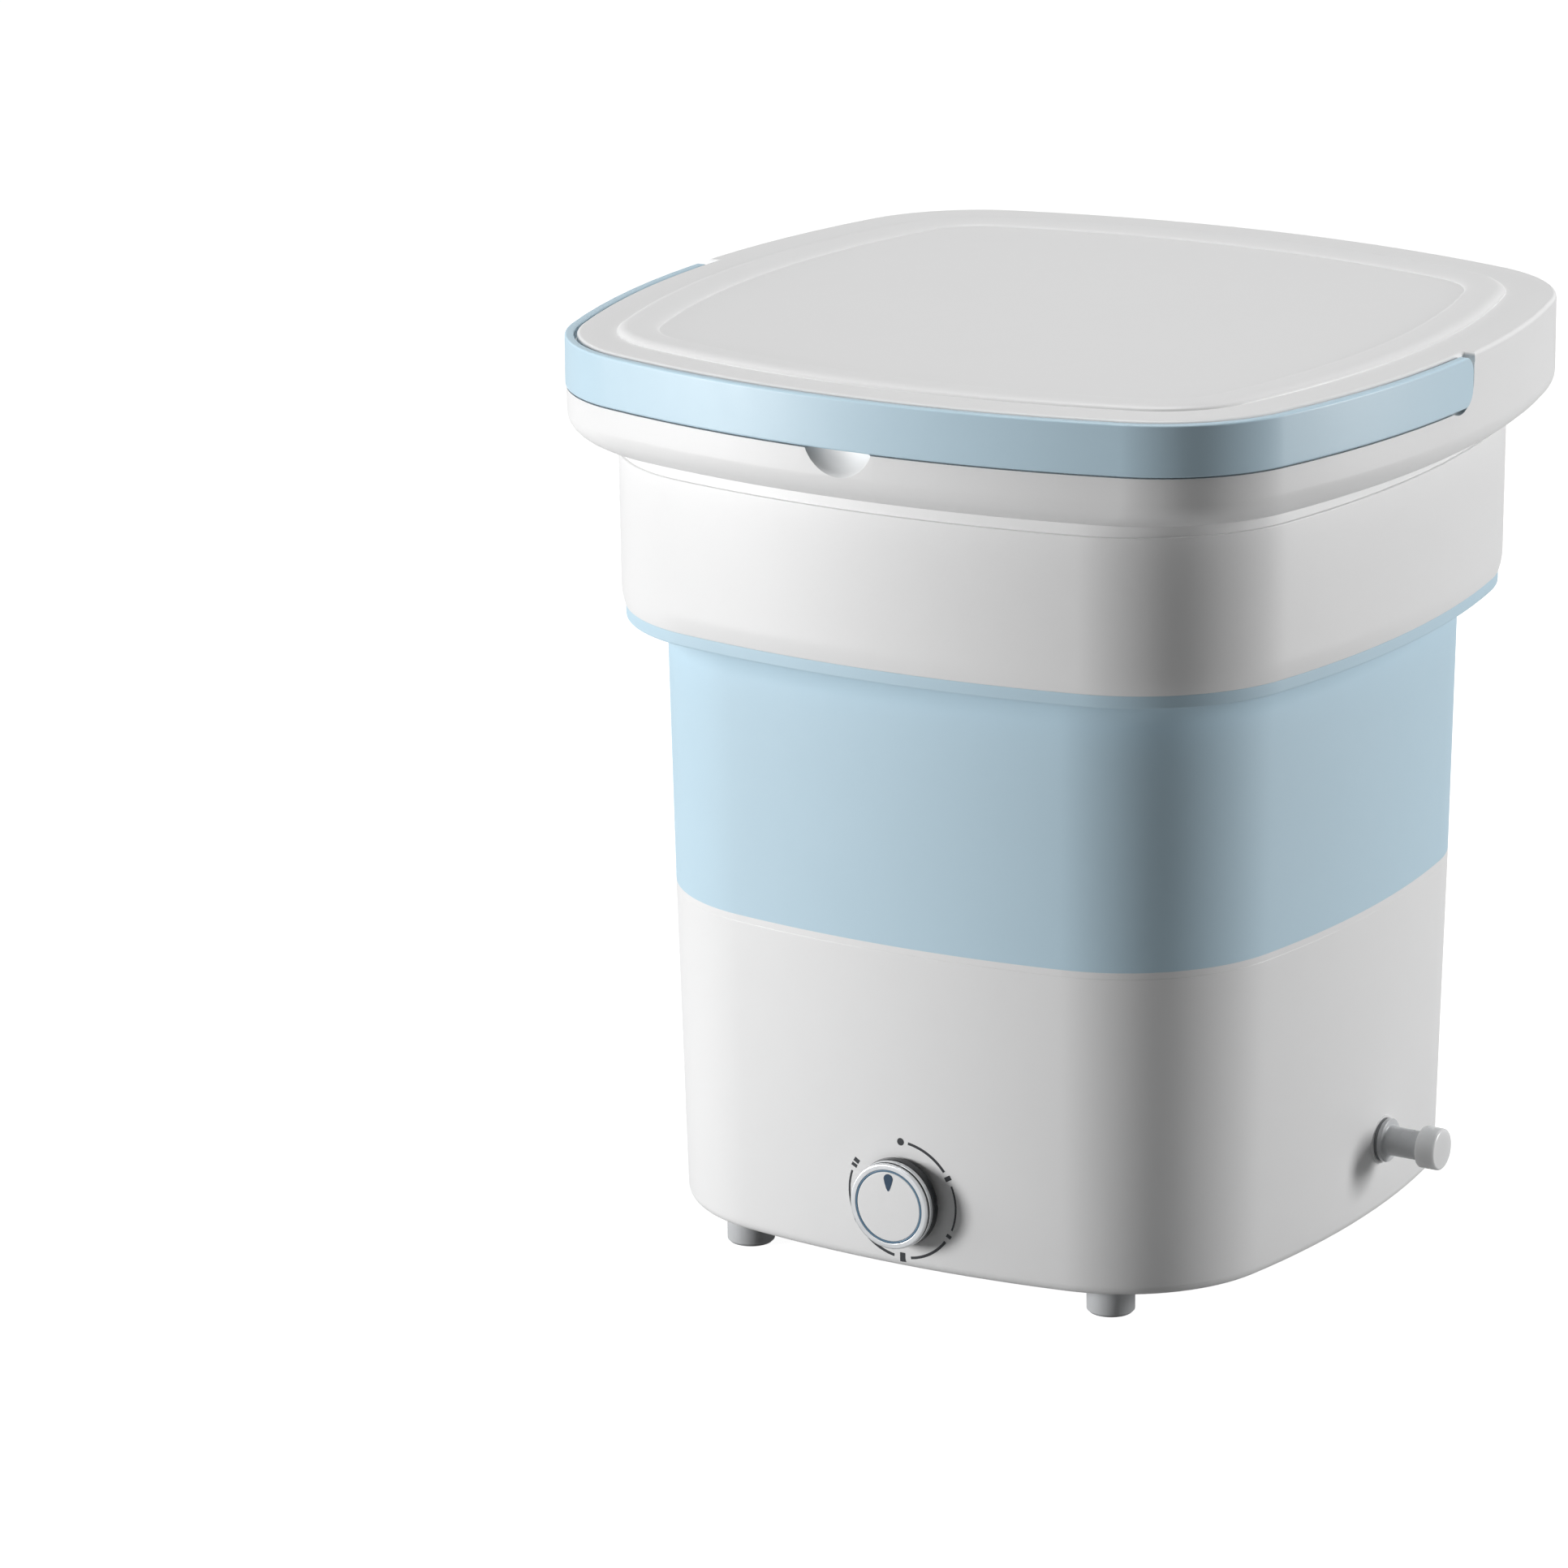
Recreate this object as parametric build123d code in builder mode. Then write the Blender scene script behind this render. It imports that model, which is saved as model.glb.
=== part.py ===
from build123d import *
from math import cos, radians, sin, sqrt, tan
import os

os.makedirs("parts", exist_ok=True)

# A small washing machine whose middle is a soft sleeve, so that its upper half sinks over its base.
# Millimetres. The origin is on the ground under the centre, +Z is up and the knob faces -Y.

# Heights of the stack, from the ground up
foot_height = 10.5
base_height = 125.5
sleeve_height = 108.5
shell_height = 58.5
collar_height = 46.0
lid_crown = 2.0

# Outlines are squares with bowed sides: a half width, a corner arc and a long side arc
base_half = 130.0
base_corner = 67.0
side_bow = 423.0
base_draft = 3.5
fold_gap = 15.0
shell_corner_gain = 4.0
shell_draft = 0.5
collar_overhang = 17.0
collar_corner_loss = 9.0
collar_bow_loss = 41.0

# Walls
base_wall = 2.5
pan_wall = 2.5
shell_wall = 2.5
collar_wall = 2.5
sleeve_wall = 1.5

# Clearances shared by many pieces: pressed, fixed, running and loose fits, and the air between still faces
pin_seat_fit = 0.02
fixed_fit = 0.05
running_fit = 0.05
pin_run_fit = 0.08
hole_gap = 0.15
small_gap = 0.3

# How far a cut runs past the face it opens, and a joined body into its neighbour
cut_past = 1.0

# Base shell and bottom cover
bottom_round = 4.0
bottom_land = 5.0
ledge_width = 10.0
ledge_thick = 3.0
cover_thick = 2.5
cover_gap = 0.3
pad_proud = 0.2
pad_depth = 4.7
vent_length = 34.0
vent_width = 3.0
vent_pitch = 7.5
vent_count = 7
foot_radius = 9.0
foot_side_inset = 52.0
foot_end_inset = 28.0
foot_x = base_half - foot_side_inset
foot_y = base_half - foot_end_inset
plug_radius = 3.0
plug_bulge = 1.0
plug_bulge_height = 1.5
plug_taper = 20.0
foot_edge = 1.0

# Tub pan
pan_flange_thick = 2.5
pan_inset_top = 8.0
pan_inset_floor = 16.0
pan_floor_round = 12.0
post_side_inset = 37.0
post_end_inset = 68.0
post_x = base_half - post_side_inset
post_y = base_half - post_end_inset
post_radius = 4.5
screw_radius = 1.5
screw_length = 12.0
screw_head_radius = 3.2
screw_head_height = 1.8
screw_end_gap = 1.0
boss_radius = 16.0
seal_recess = 1.0

# Drive line, from the cover up
pulley_air = 2.0
pulley_width = 7.0
groove_width = 5.0
groove_depth = 3.0
drive_pulley_radius = 40.0
motor_pulley_radius = 9.5
motor_groove_depth = 2.0
pulley_spacing = 18.5
belt_thick = 2.0
belt_side_gap = 0.3
belt_seat_gap = 0.3
spacer_length = 6.0
spacer_radius = 6.5
bearing_radius = 11.0
bearing_width = 7.0
bearing_spread = 6.5
race_width = 2.5
race_step = 0.4
seal_height = 6.0
seal_air = 0.5
shaft_radius = 4.0
nut_width = 13.0
nut_height = 3.0
web_thick = 3.0
rim_depth = 5.0
web_hole_radius = 7.0
motor_radius = 25.0
motor_edge_round = 2.0
motor_air = 4.5
motor_shaft_radius = 2.0
motor_boss_radius = 5.5
bracket_thick = 2.0
bracket_air = 1.0
bracket_post_reach = 22.0
bracket_post_radius = 4.0
bracket_margin = 6.0
motor_screw_reach = 15.0
motor_screw_bite = 5.0
motor_screw_head = 0.9
motor_shaft_depth = 14.0
shaft_end_play = 0.5
terminal_width = 14.0
terminal_depth = 6.0
terminal_height = 10.0

# The basket fills the tub, and the pulsator turns under its floor
basket_side_air = 20.0
basket_radius = base_half - basket_side_air

# Pulsator
pulsator_side_air = 38.0
pulsator_radius = basket_radius - pulsator_side_air
pulsator_thick = 3.0
pulsator_rise = 2.5
pulsator_dome = 3.0
dome_bulge = 0.6
hub_radius = 13.0
vane_count = 6
vane_width = 7.0
vane_height = 5.0
vane_draft = 8.0
vane_start = 17.0
screw_room = 2.0
dog_count = 3
dog_radius = 3.0
dog_inset = 12.0
dog_circle = pulsator_radius - dog_inset
dog_height = 11.5
dog_gap = 0.4

# Spin basket: the upper section telescopes over the lower one
basket_rise = 4.0
basket_rim_width = 4.0
basket_rim_height = 11.5
basket_rim_round = 3.0
basket_wall = 2.0
basket_upper_height = 94.0
basket_lower_height = 77.0
basket_step = 11.0
basket_slide_gap = 1.5
basket_lip_thick = 4.0
basket_lip_width = 6.0
basket_stop_thick = 2.0
basket_stop_air = 0.3
slot_count = 50
slot_width = 3.2
upper_slot_height = 68.5
lower_slot_height = 58.5
bottom_band = 14.6
basket_floor_thick = 2.5
basket_floor_air = 0.3
basket_ledge = 1.0
floor_slot_start = 17.0
floor_slot_length = dog_circle - 2 * floor_slot_start
inner_slot_count = 24
outer_slot_count = 48
clip_width = 14.0
clip_thick = 2.0
clip_drop = 9.0

# Knob and rotary switch
knob_x = 3.4
knob_rise = 27.1
knob_radius = 17.0
knob_reach = 9.7
knob_air = 1.6
knob_draft = 3.0
knob_edge_round = 0.8
cap_radius = 13.4
cap_thick = 1.2
nut_room = 2.0
shaft_stop = 2.5
ring_width = 1.2
pointer_reach = 11.6
pointer_radius = 1.7
switch_pad_radius = 12.0
switch_width = 26.0
switch_height = 28.0
switch_depth = 14.0
switch_corner = 2.0
bushing_radius = 5.0
bushing_gap = 0.1
bushing_reach = 2.4
switch_nut_width = 13.0
switch_nut_thick = 2.0
knob_shaft_radius = 3.0

# Drain at the right side
drain_y = 20.0
drain_rise = 28.9
drain_pad_radius = 9.3
spout_radius = 5.5
spout_bore = 3.5
spout_flange_radius = 8.35
spout_flange_thick = 1.8
spout_reach = 23.0
gasket_thick = 1.0
pipe_radius = 6.0
pipe_bore = 4.2
drain_nut_width = 17.0
drain_nut_thick = 4.5
barb_length = 6.3
sump_inset = 40.0
sump_x = base_half - sump_inset
sump_radius = 11.0
sump_wall = 2.5
nipple_length = 8.0
hose_wall = 2.0
hose_gap = 0.5
clamp_thick = 1.2
clamp_width = 3.5
strainer_margin = 1.0
strainer_thick = 1.2
strainer_slot_width = 1.5
strainer_slot_pitch = 4.0
strainer_slot_count = 3
cap_outer_radius = 8.0
cap_length = 8.0
cap_end = 1.6
cap_edge_round = 1.0
cap_air = 0.2

# Power inlet at the back
inlet_x = -30.0
inlet_rise = 23.5
inlet_pad_radius = 9.0
inlet_flange_radius = 7.0
inlet_flange_thick = 1.6
inlet_barrel_radius = 5.0
inlet_depth = 14.0
inlet_bore = 2.75
inlet_bore_depth = 9.5
inlet_pin_radius = 1.0
inlet_pin_inset = 1.0
inlet_nut_width = 13.0
inlet_nut_thick = 3.0

# Control board on its posts
board_side_inset = 87.0
board_end_inset = 56.0
board_x = base_half - board_side_inset
board_y = base_half - board_end_inset
board_length = 70.0
board_width = 40.0
board_thick = 1.6
board_post_height = 8.0
board_post_radius = 3.0
board_post_inset = 4.0
connector_length = 10.0
connector_depth = 7.0
connector_height = 8.0
connector_row = 7.0
connector_offset = 4.0
board_screw_bite = 4.0
capacitor_radius = 5.0
capacitor_height = 16.0
capacitor_shift = 12.0
relay_width = 12.0
relay_length = 16.0
relay_height = 12.0
relay_shift = 10.0
sink_thick = 2.0

# Leads, held by the parts they join
lead_radius = 1.5
lead_out = 15.0
bend_share = 0.45

# Sleeve
lip_height = 14.5
sleeve_swell = 2.0
lip_edge = 0.4
bead_width = 6.0
bead_height = 3.0
lip_steps = 6

# Upper shell
edge_rise = 8.0
edge_inset = 1.4
edge_steps = 4
shell_flange_width = 8.0
shell_flange_thick = 2.5

# Collar, its handle and the pivots
neck_height = 5.0
neck_inset = 1.2
collar_round_height = 12.0
round_steps = 6
skirt_drop = 7.0
skirt_thick = 2.2
skirt_gap = 0.3
handle_height = 19.0
handle_thick = 3.5
handle_proud = 0.5
handle_gap = 0.5
handle_back_gap = 0.4
handle_tail = 9.5
handle_tail_round = 7.0
handle_edge_round = 0.8
recess_ledge = 2.5
pin_radius = 3.0
pin_bite = 1.9
pin_inset = 0.1
notch_width = 28.0
notch_drop = 9.5
notch_depth = 7.0
notch_backing = 9.0
notch_backing_side = 6.0
notch_backing_top = 4.0

# Lid
lid_thick = 3.7
lid_side_gap = 1.0
lid_rear_gap = 0.4
lid_edge_round = 1.5
ridge_inset = 23.5
ridge_width = 4.5
ridge_land = 1.0
ridge_steps = 3
dish_slope = 10.0
dish_depth = 1.6
lid_pocket_depth = 1.6
lid_skirt_drop = 7.0
lid_skirt_thick = 2.0
lid_gasket_proud = 1.1
lid_gasket_height = 3.0

# Levels worked out from the sizes above
base_bottom = foot_height
base_top = base_bottom + base_height
base_rim = base_top - pan_flange_thick
shell_bottom = base_top + sleeve_height
shell_top = shell_bottom + shell_height
collar_top = shell_top + collar_height
cover_top = base_bottom + cover_thick
pulley_bottom = cover_top + pulley_air
pulley_top = pulley_bottom + pulley_width
lower_bearing_bottom = pulley_top + spacer_length
upper_bearing_bottom = lower_bearing_bottom + bearing_width + bearing_spread
seal_bottom = upper_bearing_bottom + bearing_width + seal_air
floor_top = seal_bottom + seal_height + seal_recess
floor_bottom = floor_top - pan_wall
bracket_bottom = pulley_top + bracket_air
bracket_top = bracket_bottom + bracket_thick
motor_top = floor_bottom - motor_air
motor_x = -(drive_pulley_radius + motor_pulley_radius + pulley_spacing)
knob_z = base_bottom + knob_rise
drain_z = base_bottom + drain_rise
inlet_z = base_bottom + inlet_rise
board_z = cover_top + board_post_height
lid_seat = collar_top - lid_thick
recess_floor = collar_top - handle_gap - handle_height - handle_gap
pivot_z = collar_top - handle_gap - handle_height / 2

# Outlines worked out from the sizes above
base_outline = (base_half, base_corner, side_bow)
shell_half = base_half + fold_gap + shell_wall
shell_outline = (shell_half, base_corner + shell_corner_gain, side_bow)
collar_half = shell_half + collar_overhang
collar_corner = base_corner + shell_corner_gain - collar_corner_loss
collar_outline = (collar_half, collar_corner, side_bow - collar_bow_loss)


def grown(outline, offset):
    return tuple(size + offset for size in outline)


def between(first, last, share):
    return tuple(a + (b - a) * share for a, b in zip(first, last))


def base_face(height):
    # Half width of the tapered base at a height above the ground
    return base_half - base_draft * (base_top - height) / base_height


def pad_face(height, shift, radius):
    # Where a flat pad on a bowed side stands just proud of the wall all over
    near = max(abs(shift) - radius, 0)
    return base_face(height) - side_bow + sqrt(side_bow**2 - near**2) + pad_proud


# A closed outline: four long side arcs joined by four corner arcs that are tangent to them
class BowedLoop(BaseLineObject):
    def __init__(self, outline, mode=Mode.ADD):
        half, corner, bow = outline
        reach = bow - corner
        back = bow - half
        centre = (sqrt(2 * reach**2 - back**2) - back) / 2
        along = bow * centre / reach
        across = bow * (centre + back) / reach - back
        tip = centre + corner / sqrt(2)
        with BuildLine() as loop:
            for turn in range(4):
                with Locations(Location((0, 0, 0), (0, 0, 90 * turn))):
                    side = ThreePointArc((across, -along), (half, 0), (across, along), mode=Mode.PRIVATE)
                    bend = ThreePointArc((across, along), (tip, tip), (along, across), mode=Mode.PRIVATE)
                    add(side)
                    add(bend)
        super().__init__(loop.wire(), mode=mode)


# The face inside such an outline
class BowedFace(BaseSketchObject):
    def __init__(self, outline, mode=Mode.ADD):
        with BuildSketch() as face:
            with BuildLine():
                BowedLoop(outline)
            make_face()
        super().__init__(face.sketch, 0, None, mode)


# A body through one outline at each height
class BowedBody(BasePartObject):
    def __init__(self, stations, mode=Mode.ADD):
        with BuildPart() as body:
            for height, outline in stations:
                with BuildSketch(Plane.XY.offset(height)):
                    BowedFace(outline)
            loft(ruled=True)
        super().__init__(body.part, (0, 0, 0), None, mode)


# A round bar along one direction, from a start point
class Bar(BasePartObject):
    def __init__(self, start, direction, radius, length, mode=Mode.ADD):
        with BuildPart() as bar:
            with BuildSketch(Plane(origin=start, z_dir=direction)):
                Circle(radius)
            extrude(amount=length)
        super().__init__(bar.part, (0, 0, 0), None, mode)


# Base shell: a swept wall with an inward ledge that the bottom cover closes
base_foot_half = base_half - base_draft
with BuildPart() as base_shell:
    with BuildLine():
        BowedLoop(base_outline)
    with BuildSketch(Plane.XZ) as base_section:
        with BuildLine():
            Polyline(
                (base_half, base_rim),
                (base_foot_half, base_bottom),
                (base_foot_half - bottom_land, base_bottom),
                (base_foot_half - bottom_land, cover_top),
                (base_foot_half - ledge_width, cover_top),
                (base_foot_half - ledge_width, cover_top + ledge_thick),
                (base_foot_half - base_wall, cover_top + ledge_thick),
                (base_half - base_wall, base_rim),
                close=True,
            )
        make_face()
        fillet(base_section.vertices().group_by(Axis.Y)[0].sort_by(Axis.X)[-1], bottom_round)
    sweep()
    knob_pad = pad_face(knob_z, knob_x, switch_pad_radius)
    with BuildSketch(Plane.XZ.offset(knob_pad)):
        with Locations((knob_x, knob_z)):
            Circle(switch_pad_radius)
    extrude(amount=-pad_depth)
    drain_pad = pad_face(drain_z, drain_y, drain_pad_radius)
    with BuildSketch(Plane.YZ.offset(drain_pad)):
        with Locations((drain_y, drain_z)):
            Circle(drain_pad_radius)
    extrude(amount=-pad_depth)
    inlet_pad = pad_face(inlet_z, inlet_x, inlet_pad_radius)
    with BuildSketch(Plane.XZ.offset(-inlet_pad)):
        with Locations((inlet_x, inlet_z)):
            Circle(inlet_pad_radius)
    extrude(amount=pad_depth)
    with BuildSketch(Plane.XZ.offset(knob_pad + cut_past)):
        with Locations((knob_x, knob_z)):
            Circle(bushing_radius + bushing_gap)
    extrude(amount=-pad_depth - 2 * cut_past, mode=Mode.SUBTRACT)
    with BuildSketch(Plane.YZ.offset(drain_pad + cut_past)):
        with Locations((drain_y, drain_z)):
            Circle(pipe_radius + hole_gap)
    extrude(amount=-pad_depth - 2 * cut_past, mode=Mode.SUBTRACT)
    with BuildSketch(Plane.XZ.offset(-inlet_pad - cut_past)):
        with Locations((inlet_x, inlet_z)):
            Circle(inlet_barrel_radius + hole_gap)
    extrude(amount=pad_depth + 2 * cut_past, mode=Mode.SUBTRACT)
base_shell.part.label = "base_shell"
export_step(base_shell.part, "parts/base_shell.step")

# Bottom cover with vents, screw and foot holes, and the posts of the control board
cover_outline = grown(base_outline, -base_draft - bottom_land - cover_gap)
board_post_x = board_length / 2 - board_post_inset
board_post_y = board_width / 2 - board_post_inset
with BuildPart() as bottom_cover:
    with BuildSketch(Plane.XY.offset(base_bottom)):
        BowedFace(cover_outline)
        with GridLocations(2 * post_x, 2 * post_y, 2, 2):
            Circle(screw_radius + hole_gap, mode=Mode.SUBTRACT)
        with GridLocations(2 * foot_x, 2 * foot_y, 2, 2):
            Circle(plug_radius + fixed_fit, mode=Mode.SUBTRACT)
        with Locations((motor_x, 0)):
            with GridLocations(0, vent_pitch, 1, vent_count):
                SlotOverall(vent_length, vent_width, mode=Mode.SUBTRACT)
    extrude(amount=cover_thick)
    with BuildSketch(Plane.XY.offset(cover_top)):
        with Locations((board_x, board_y)):
            with GridLocations(2 * board_post_x, 2 * board_post_y, 2, 2):
                Circle(board_post_radius)
                Circle(screw_radius + fixed_fit, mode=Mode.SUBTRACT)
    extrude(amount=board_post_height)
bottom_cover.part.label = "bottom_cover"
export_step(bottom_cover.part, "parts/bottom_cover.step")

# Four rubber feet, each with a plug that snaps through the cover
foot_places = {
    "foot_front_left": (-foot_x, -foot_y),
    "foot_front_right": (foot_x, -foot_y),
    "foot_rear_left": (-foot_x, foot_y),
    "foot_rear_right": (foot_x, foot_y),
}
for foot_name, (x, y) in foot_places.items():
    with BuildPart() as foot:
        with BuildSketch():
            with Locations((x, y)):
                Circle(foot_radius)
        extrude(amount=foot_height)
        chamfer(foot.edges().group_by(Axis.Z)[0], foot_edge)
        with BuildSketch(Plane.XY.offset(foot_height)):
            with Locations((x, y)):
                Circle(plug_radius)
        extrude(amount=cover_thick)
        with BuildSketch(Plane.XY.offset(cover_top)):
            with Locations((x, y)):
                Circle(plug_radius + plug_bulge)
        extrude(amount=plug_bulge_height, taper=plug_taper)
    foot.part.label = foot_name
    export_step(foot.part, f"parts/{foot_name}.step")

# Tub pan: the watertight bottom of the tub, hung by its flange on the base shell
pan_top_half = base_half - pan_inset_top
pan_floor_half = base_half - pan_inset_floor
floor_plate_half = pan_floor_half - pan_floor_round - pan_wall
with BuildPart() as tub_pan:
    with BuildLine():
        BowedLoop(base_outline)
    with BuildSketch(Plane.XZ) as pan_section:
        with BuildLine():
            Polyline(
                (base_half, base_rim),
                (base_half, base_top),
                (pan_top_half - pan_wall, base_top),
                (pan_floor_half - pan_wall, floor_top),
                (floor_plate_half, floor_top),
                (floor_plate_half, floor_bottom),
                (pan_floor_half, floor_bottom),
                (pan_top_half, base_rim),
                close=True,
            )
        make_face()
        inner_bend = pan_section.vertices().sort_by_distance((pan_floor_half - pan_wall, floor_top))[0]
        fillet(inner_bend, pan_floor_round)
        outer_bend = pan_section.vertices().sort_by_distance((pan_floor_half, floor_bottom))[0]
        fillet(outer_bend, pan_floor_round)
    sweep()
    with BuildSketch(Plane.XY.offset(floor_bottom)):
        BowedFace(grown(base_outline, floor_plate_half - base_half + cut_past))
    extrude(amount=pan_wall)
    with BuildSketch(Plane.XY.offset(lower_bearing_bottom)):
        Circle(boss_radius)
    extrude(amount=floor_bottom - lower_bearing_bottom + cut_past)
    with BuildSketch(Plane.XY.offset(cover_top)):
        with GridLocations(2 * post_x, 2 * post_y, 2, 2):
            Circle(post_radius)
    extrude(amount=floor_bottom - cover_top + cut_past)
    with BuildSketch(Plane.XY.offset(bracket_top)):
        with Locations((motor_x, 0)):
            with GridLocations(2 * bracket_post_reach, 2 * bracket_post_reach, 2, 2):
                Circle(bracket_post_radius)
    extrude(amount=floor_bottom - bracket_top + cut_past)
    sump_bottom = drain_z - pipe_radius - sump_wall
    with BuildSketch(Plane.XY.offset(sump_bottom)):
        with Locations((sump_x, drain_y)):
            Circle(sump_radius)
    extrude(amount=floor_bottom - sump_bottom + cut_past)
    Bar((sump_x, drain_y, drain_z), (1, 0, 0), pipe_radius, sump_radius + nipple_length)
    with BuildSketch(Plane.XY.offset(sump_bottom + sump_wall)):
        with Locations((sump_x, drain_y)):
            Circle(sump_radius - sump_wall)
    extrude(amount=floor_top - sump_bottom, mode=Mode.SUBTRACT)
    Bar(
        (sump_x, drain_y, drain_z),
        (1, 0, 0),
        pipe_bore,
        sump_radius + nipple_length + cut_past,
        mode=Mode.SUBTRACT,
    )
    with BuildSketch(Plane.XY.offset(upper_bearing_bottom)):
        Circle(bearing_radius + fixed_fit)
    extrude(amount=floor_top - upper_bearing_bottom + cut_past, mode=Mode.SUBTRACT)
    with BuildSketch(Plane.XY.offset(lower_bearing_bottom - cut_past)):
        Circle(bearing_radius + fixed_fit)
    extrude(amount=bearing_width + cut_past, mode=Mode.SUBTRACT)
    with BuildSketch(Plane.XY.offset(lower_bearing_bottom)):
        Circle(bearing_radius - pan_wall)
    extrude(amount=upper_bearing_bottom - lower_bearing_bottom + cut_past, mode=Mode.SUBTRACT)
    with BuildSketch(Plane.XY.offset(cover_top - cut_past)):
        with GridLocations(2 * post_x, 2 * post_y, 2, 2):
            Circle(screw_radius + fixed_fit)
    extrude(amount=screw_length + 2 * cut_past, mode=Mode.SUBTRACT)
    with BuildSketch(Plane.XY.offset(bracket_top - cut_past)):
        with Locations((motor_x, 0)):
            with GridLocations(2 * bracket_post_reach, 2 * bracket_post_reach, 2, 2):
                Circle(screw_radius + fixed_fit)
    extrude(amount=screw_length + 2 * cut_past, mode=Mode.SUBTRACT)
tub_pan.part.label = "tub_pan"
export_step(tub_pan.part, "parts/tub_pan.step")

# Strainer disc over the sump
with BuildPart() as drain_strainer:
    with BuildSketch(Plane.XY.offset(floor_top)):
        with Locations((sump_x, drain_y)):
            Circle(sump_radius - sump_wall + strainer_margin)
            with GridLocations(0, strainer_slot_pitch, 1, strainer_slot_count):
                SlotOverall(sump_radius, strainer_slot_width, mode=Mode.SUBTRACT)
    extrude(amount=strainer_thick)
drain_strainer.part.label = "drain_strainer"
export_step(drain_strainer.part, "parts/drain_strainer.step")


# Pan head screws as one group of solids: the heads rest at head_level and the shanks point way up or down
def screw_group(places, head_level, length, way, group_name):
    with BuildPart() as screws:
        with BuildSketch(Plane.XY.offset(head_level)):
            with Locations(*places):
                Circle(screw_head_radius)
        extrude(amount=-way * screw_head_height)
        with BuildSketch(Plane.XY.offset(head_level)):
            with Locations(*places):
                Circle(screw_radius)
        extrude(amount=way * length)
    screws.part.label = group_name
    export_step(screws.part, f"parts/{group_name}.step")


def corners(centre_x, centre_y, reach_x, reach_y):
    return [(centre_x + sx * reach_x, centre_y + sy * reach_y) for sx in (-1, 1) for sy in (-1, 1)]


post_places = corners(0, 0, post_x, post_y)
screw_group(post_places, base_bottom, cover_thick + screw_length, 1, "cover_screws")
bracket_places = corners(motor_x, 0, bracket_post_reach, bracket_post_reach)
screw_group(bracket_places, bracket_bottom, bracket_thick + screw_length, 1, "bracket_screws")
board_screw_places = corners(board_x, board_y, board_post_x, board_post_y)
screw_group(board_screw_places, board_z + board_thick, board_thick + board_screw_bite, -1, "board_screws")

# Motor bracket: a plate under the motor, screwed to four posts of the pan
bracket_half = bracket_post_reach + bracket_margin
with BuildPart() as motor_bracket:
    with BuildSketch(Plane.XY.offset(bracket_bottom)):
        with Locations((motor_x, 0)):
            RectangleRounded(2 * bracket_half, 2 * bracket_half, bracket_margin)
            Circle(motor_boss_radius + hole_gap, mode=Mode.SUBTRACT)
            with GridLocations(2 * bracket_post_reach, 2 * bracket_post_reach, 2, 2):
                Circle(screw_radius + hole_gap, mode=Mode.SUBTRACT)
            with GridLocations(0, 2 * motor_screw_reach, 1, 2):
                Circle(screw_radius + hole_gap, mode=Mode.SUBTRACT)
    extrude(amount=bracket_thick)
motor_bracket.part.label = "motor_bracket"
export_step(motor_bracket.part, "parts/motor_bracket.step")

# Motor: the can with its bearing boss below and its terminal block at the back
terminal_z = (bracket_top + motor_top) / 2
with BuildPart() as motor:
    with BuildSketch(Plane.XY.offset(bracket_top)):
        with Locations((motor_x, 0)):
            Circle(motor_radius)
    extrude(amount=motor_top - bracket_top)
    fillet(motor.edges().group_by(Axis.Z)[-1], motor_edge_round)
    with BuildSketch(Plane.XY.offset(bracket_bottom)):
        with Locations((motor_x, 0)):
            Circle(motor_boss_radius)
    extrude(amount=bracket_thick + cut_past)
    with BuildSketch(Plane.XY.offset(terminal_z - terminal_height / 2)):
        with Locations((motor_x, motor_radius)):
            Rectangle(terminal_width, 2 * terminal_depth)
    extrude(amount=terminal_height)
    with BuildSketch(Plane.XY.offset(bracket_bottom)):
        with Locations((motor_x, 0)):
            Circle(motor_shaft_radius + running_fit)
    extrude(amount=motor_shaft_depth, mode=Mode.SUBTRACT)
    with BuildSketch(Plane.XY.offset(bracket_top)):
        with Locations((motor_x, -motor_screw_reach), (motor_x, motor_screw_reach)):
            Circle(screw_radius + fixed_fit)
    extrude(amount=motor_screw_bite + cut_past, mode=Mode.SUBTRACT)
motor.part.label = "motor"
export_step(motor.part, "parts/motor.step")
motor_screw_places = [(motor_x, -motor_screw_reach), (motor_x, motor_screw_reach)]
with BuildPart() as motor_screws:
    with BuildSketch(Plane.XY.offset(bracket_bottom)):
        with Locations(*motor_screw_places):
            Circle(screw_head_radius)
    extrude(amount=-motor_screw_head)
    with BuildSketch(Plane.XY.offset(bracket_bottom)):
        with Locations(*motor_screw_places):
            Circle(screw_radius)
    extrude(amount=bracket_thick + motor_screw_bite)
motor_screws.part.label = "motor_screws"
export_step(motor_screws.part, "parts/motor_screws.step")

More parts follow.
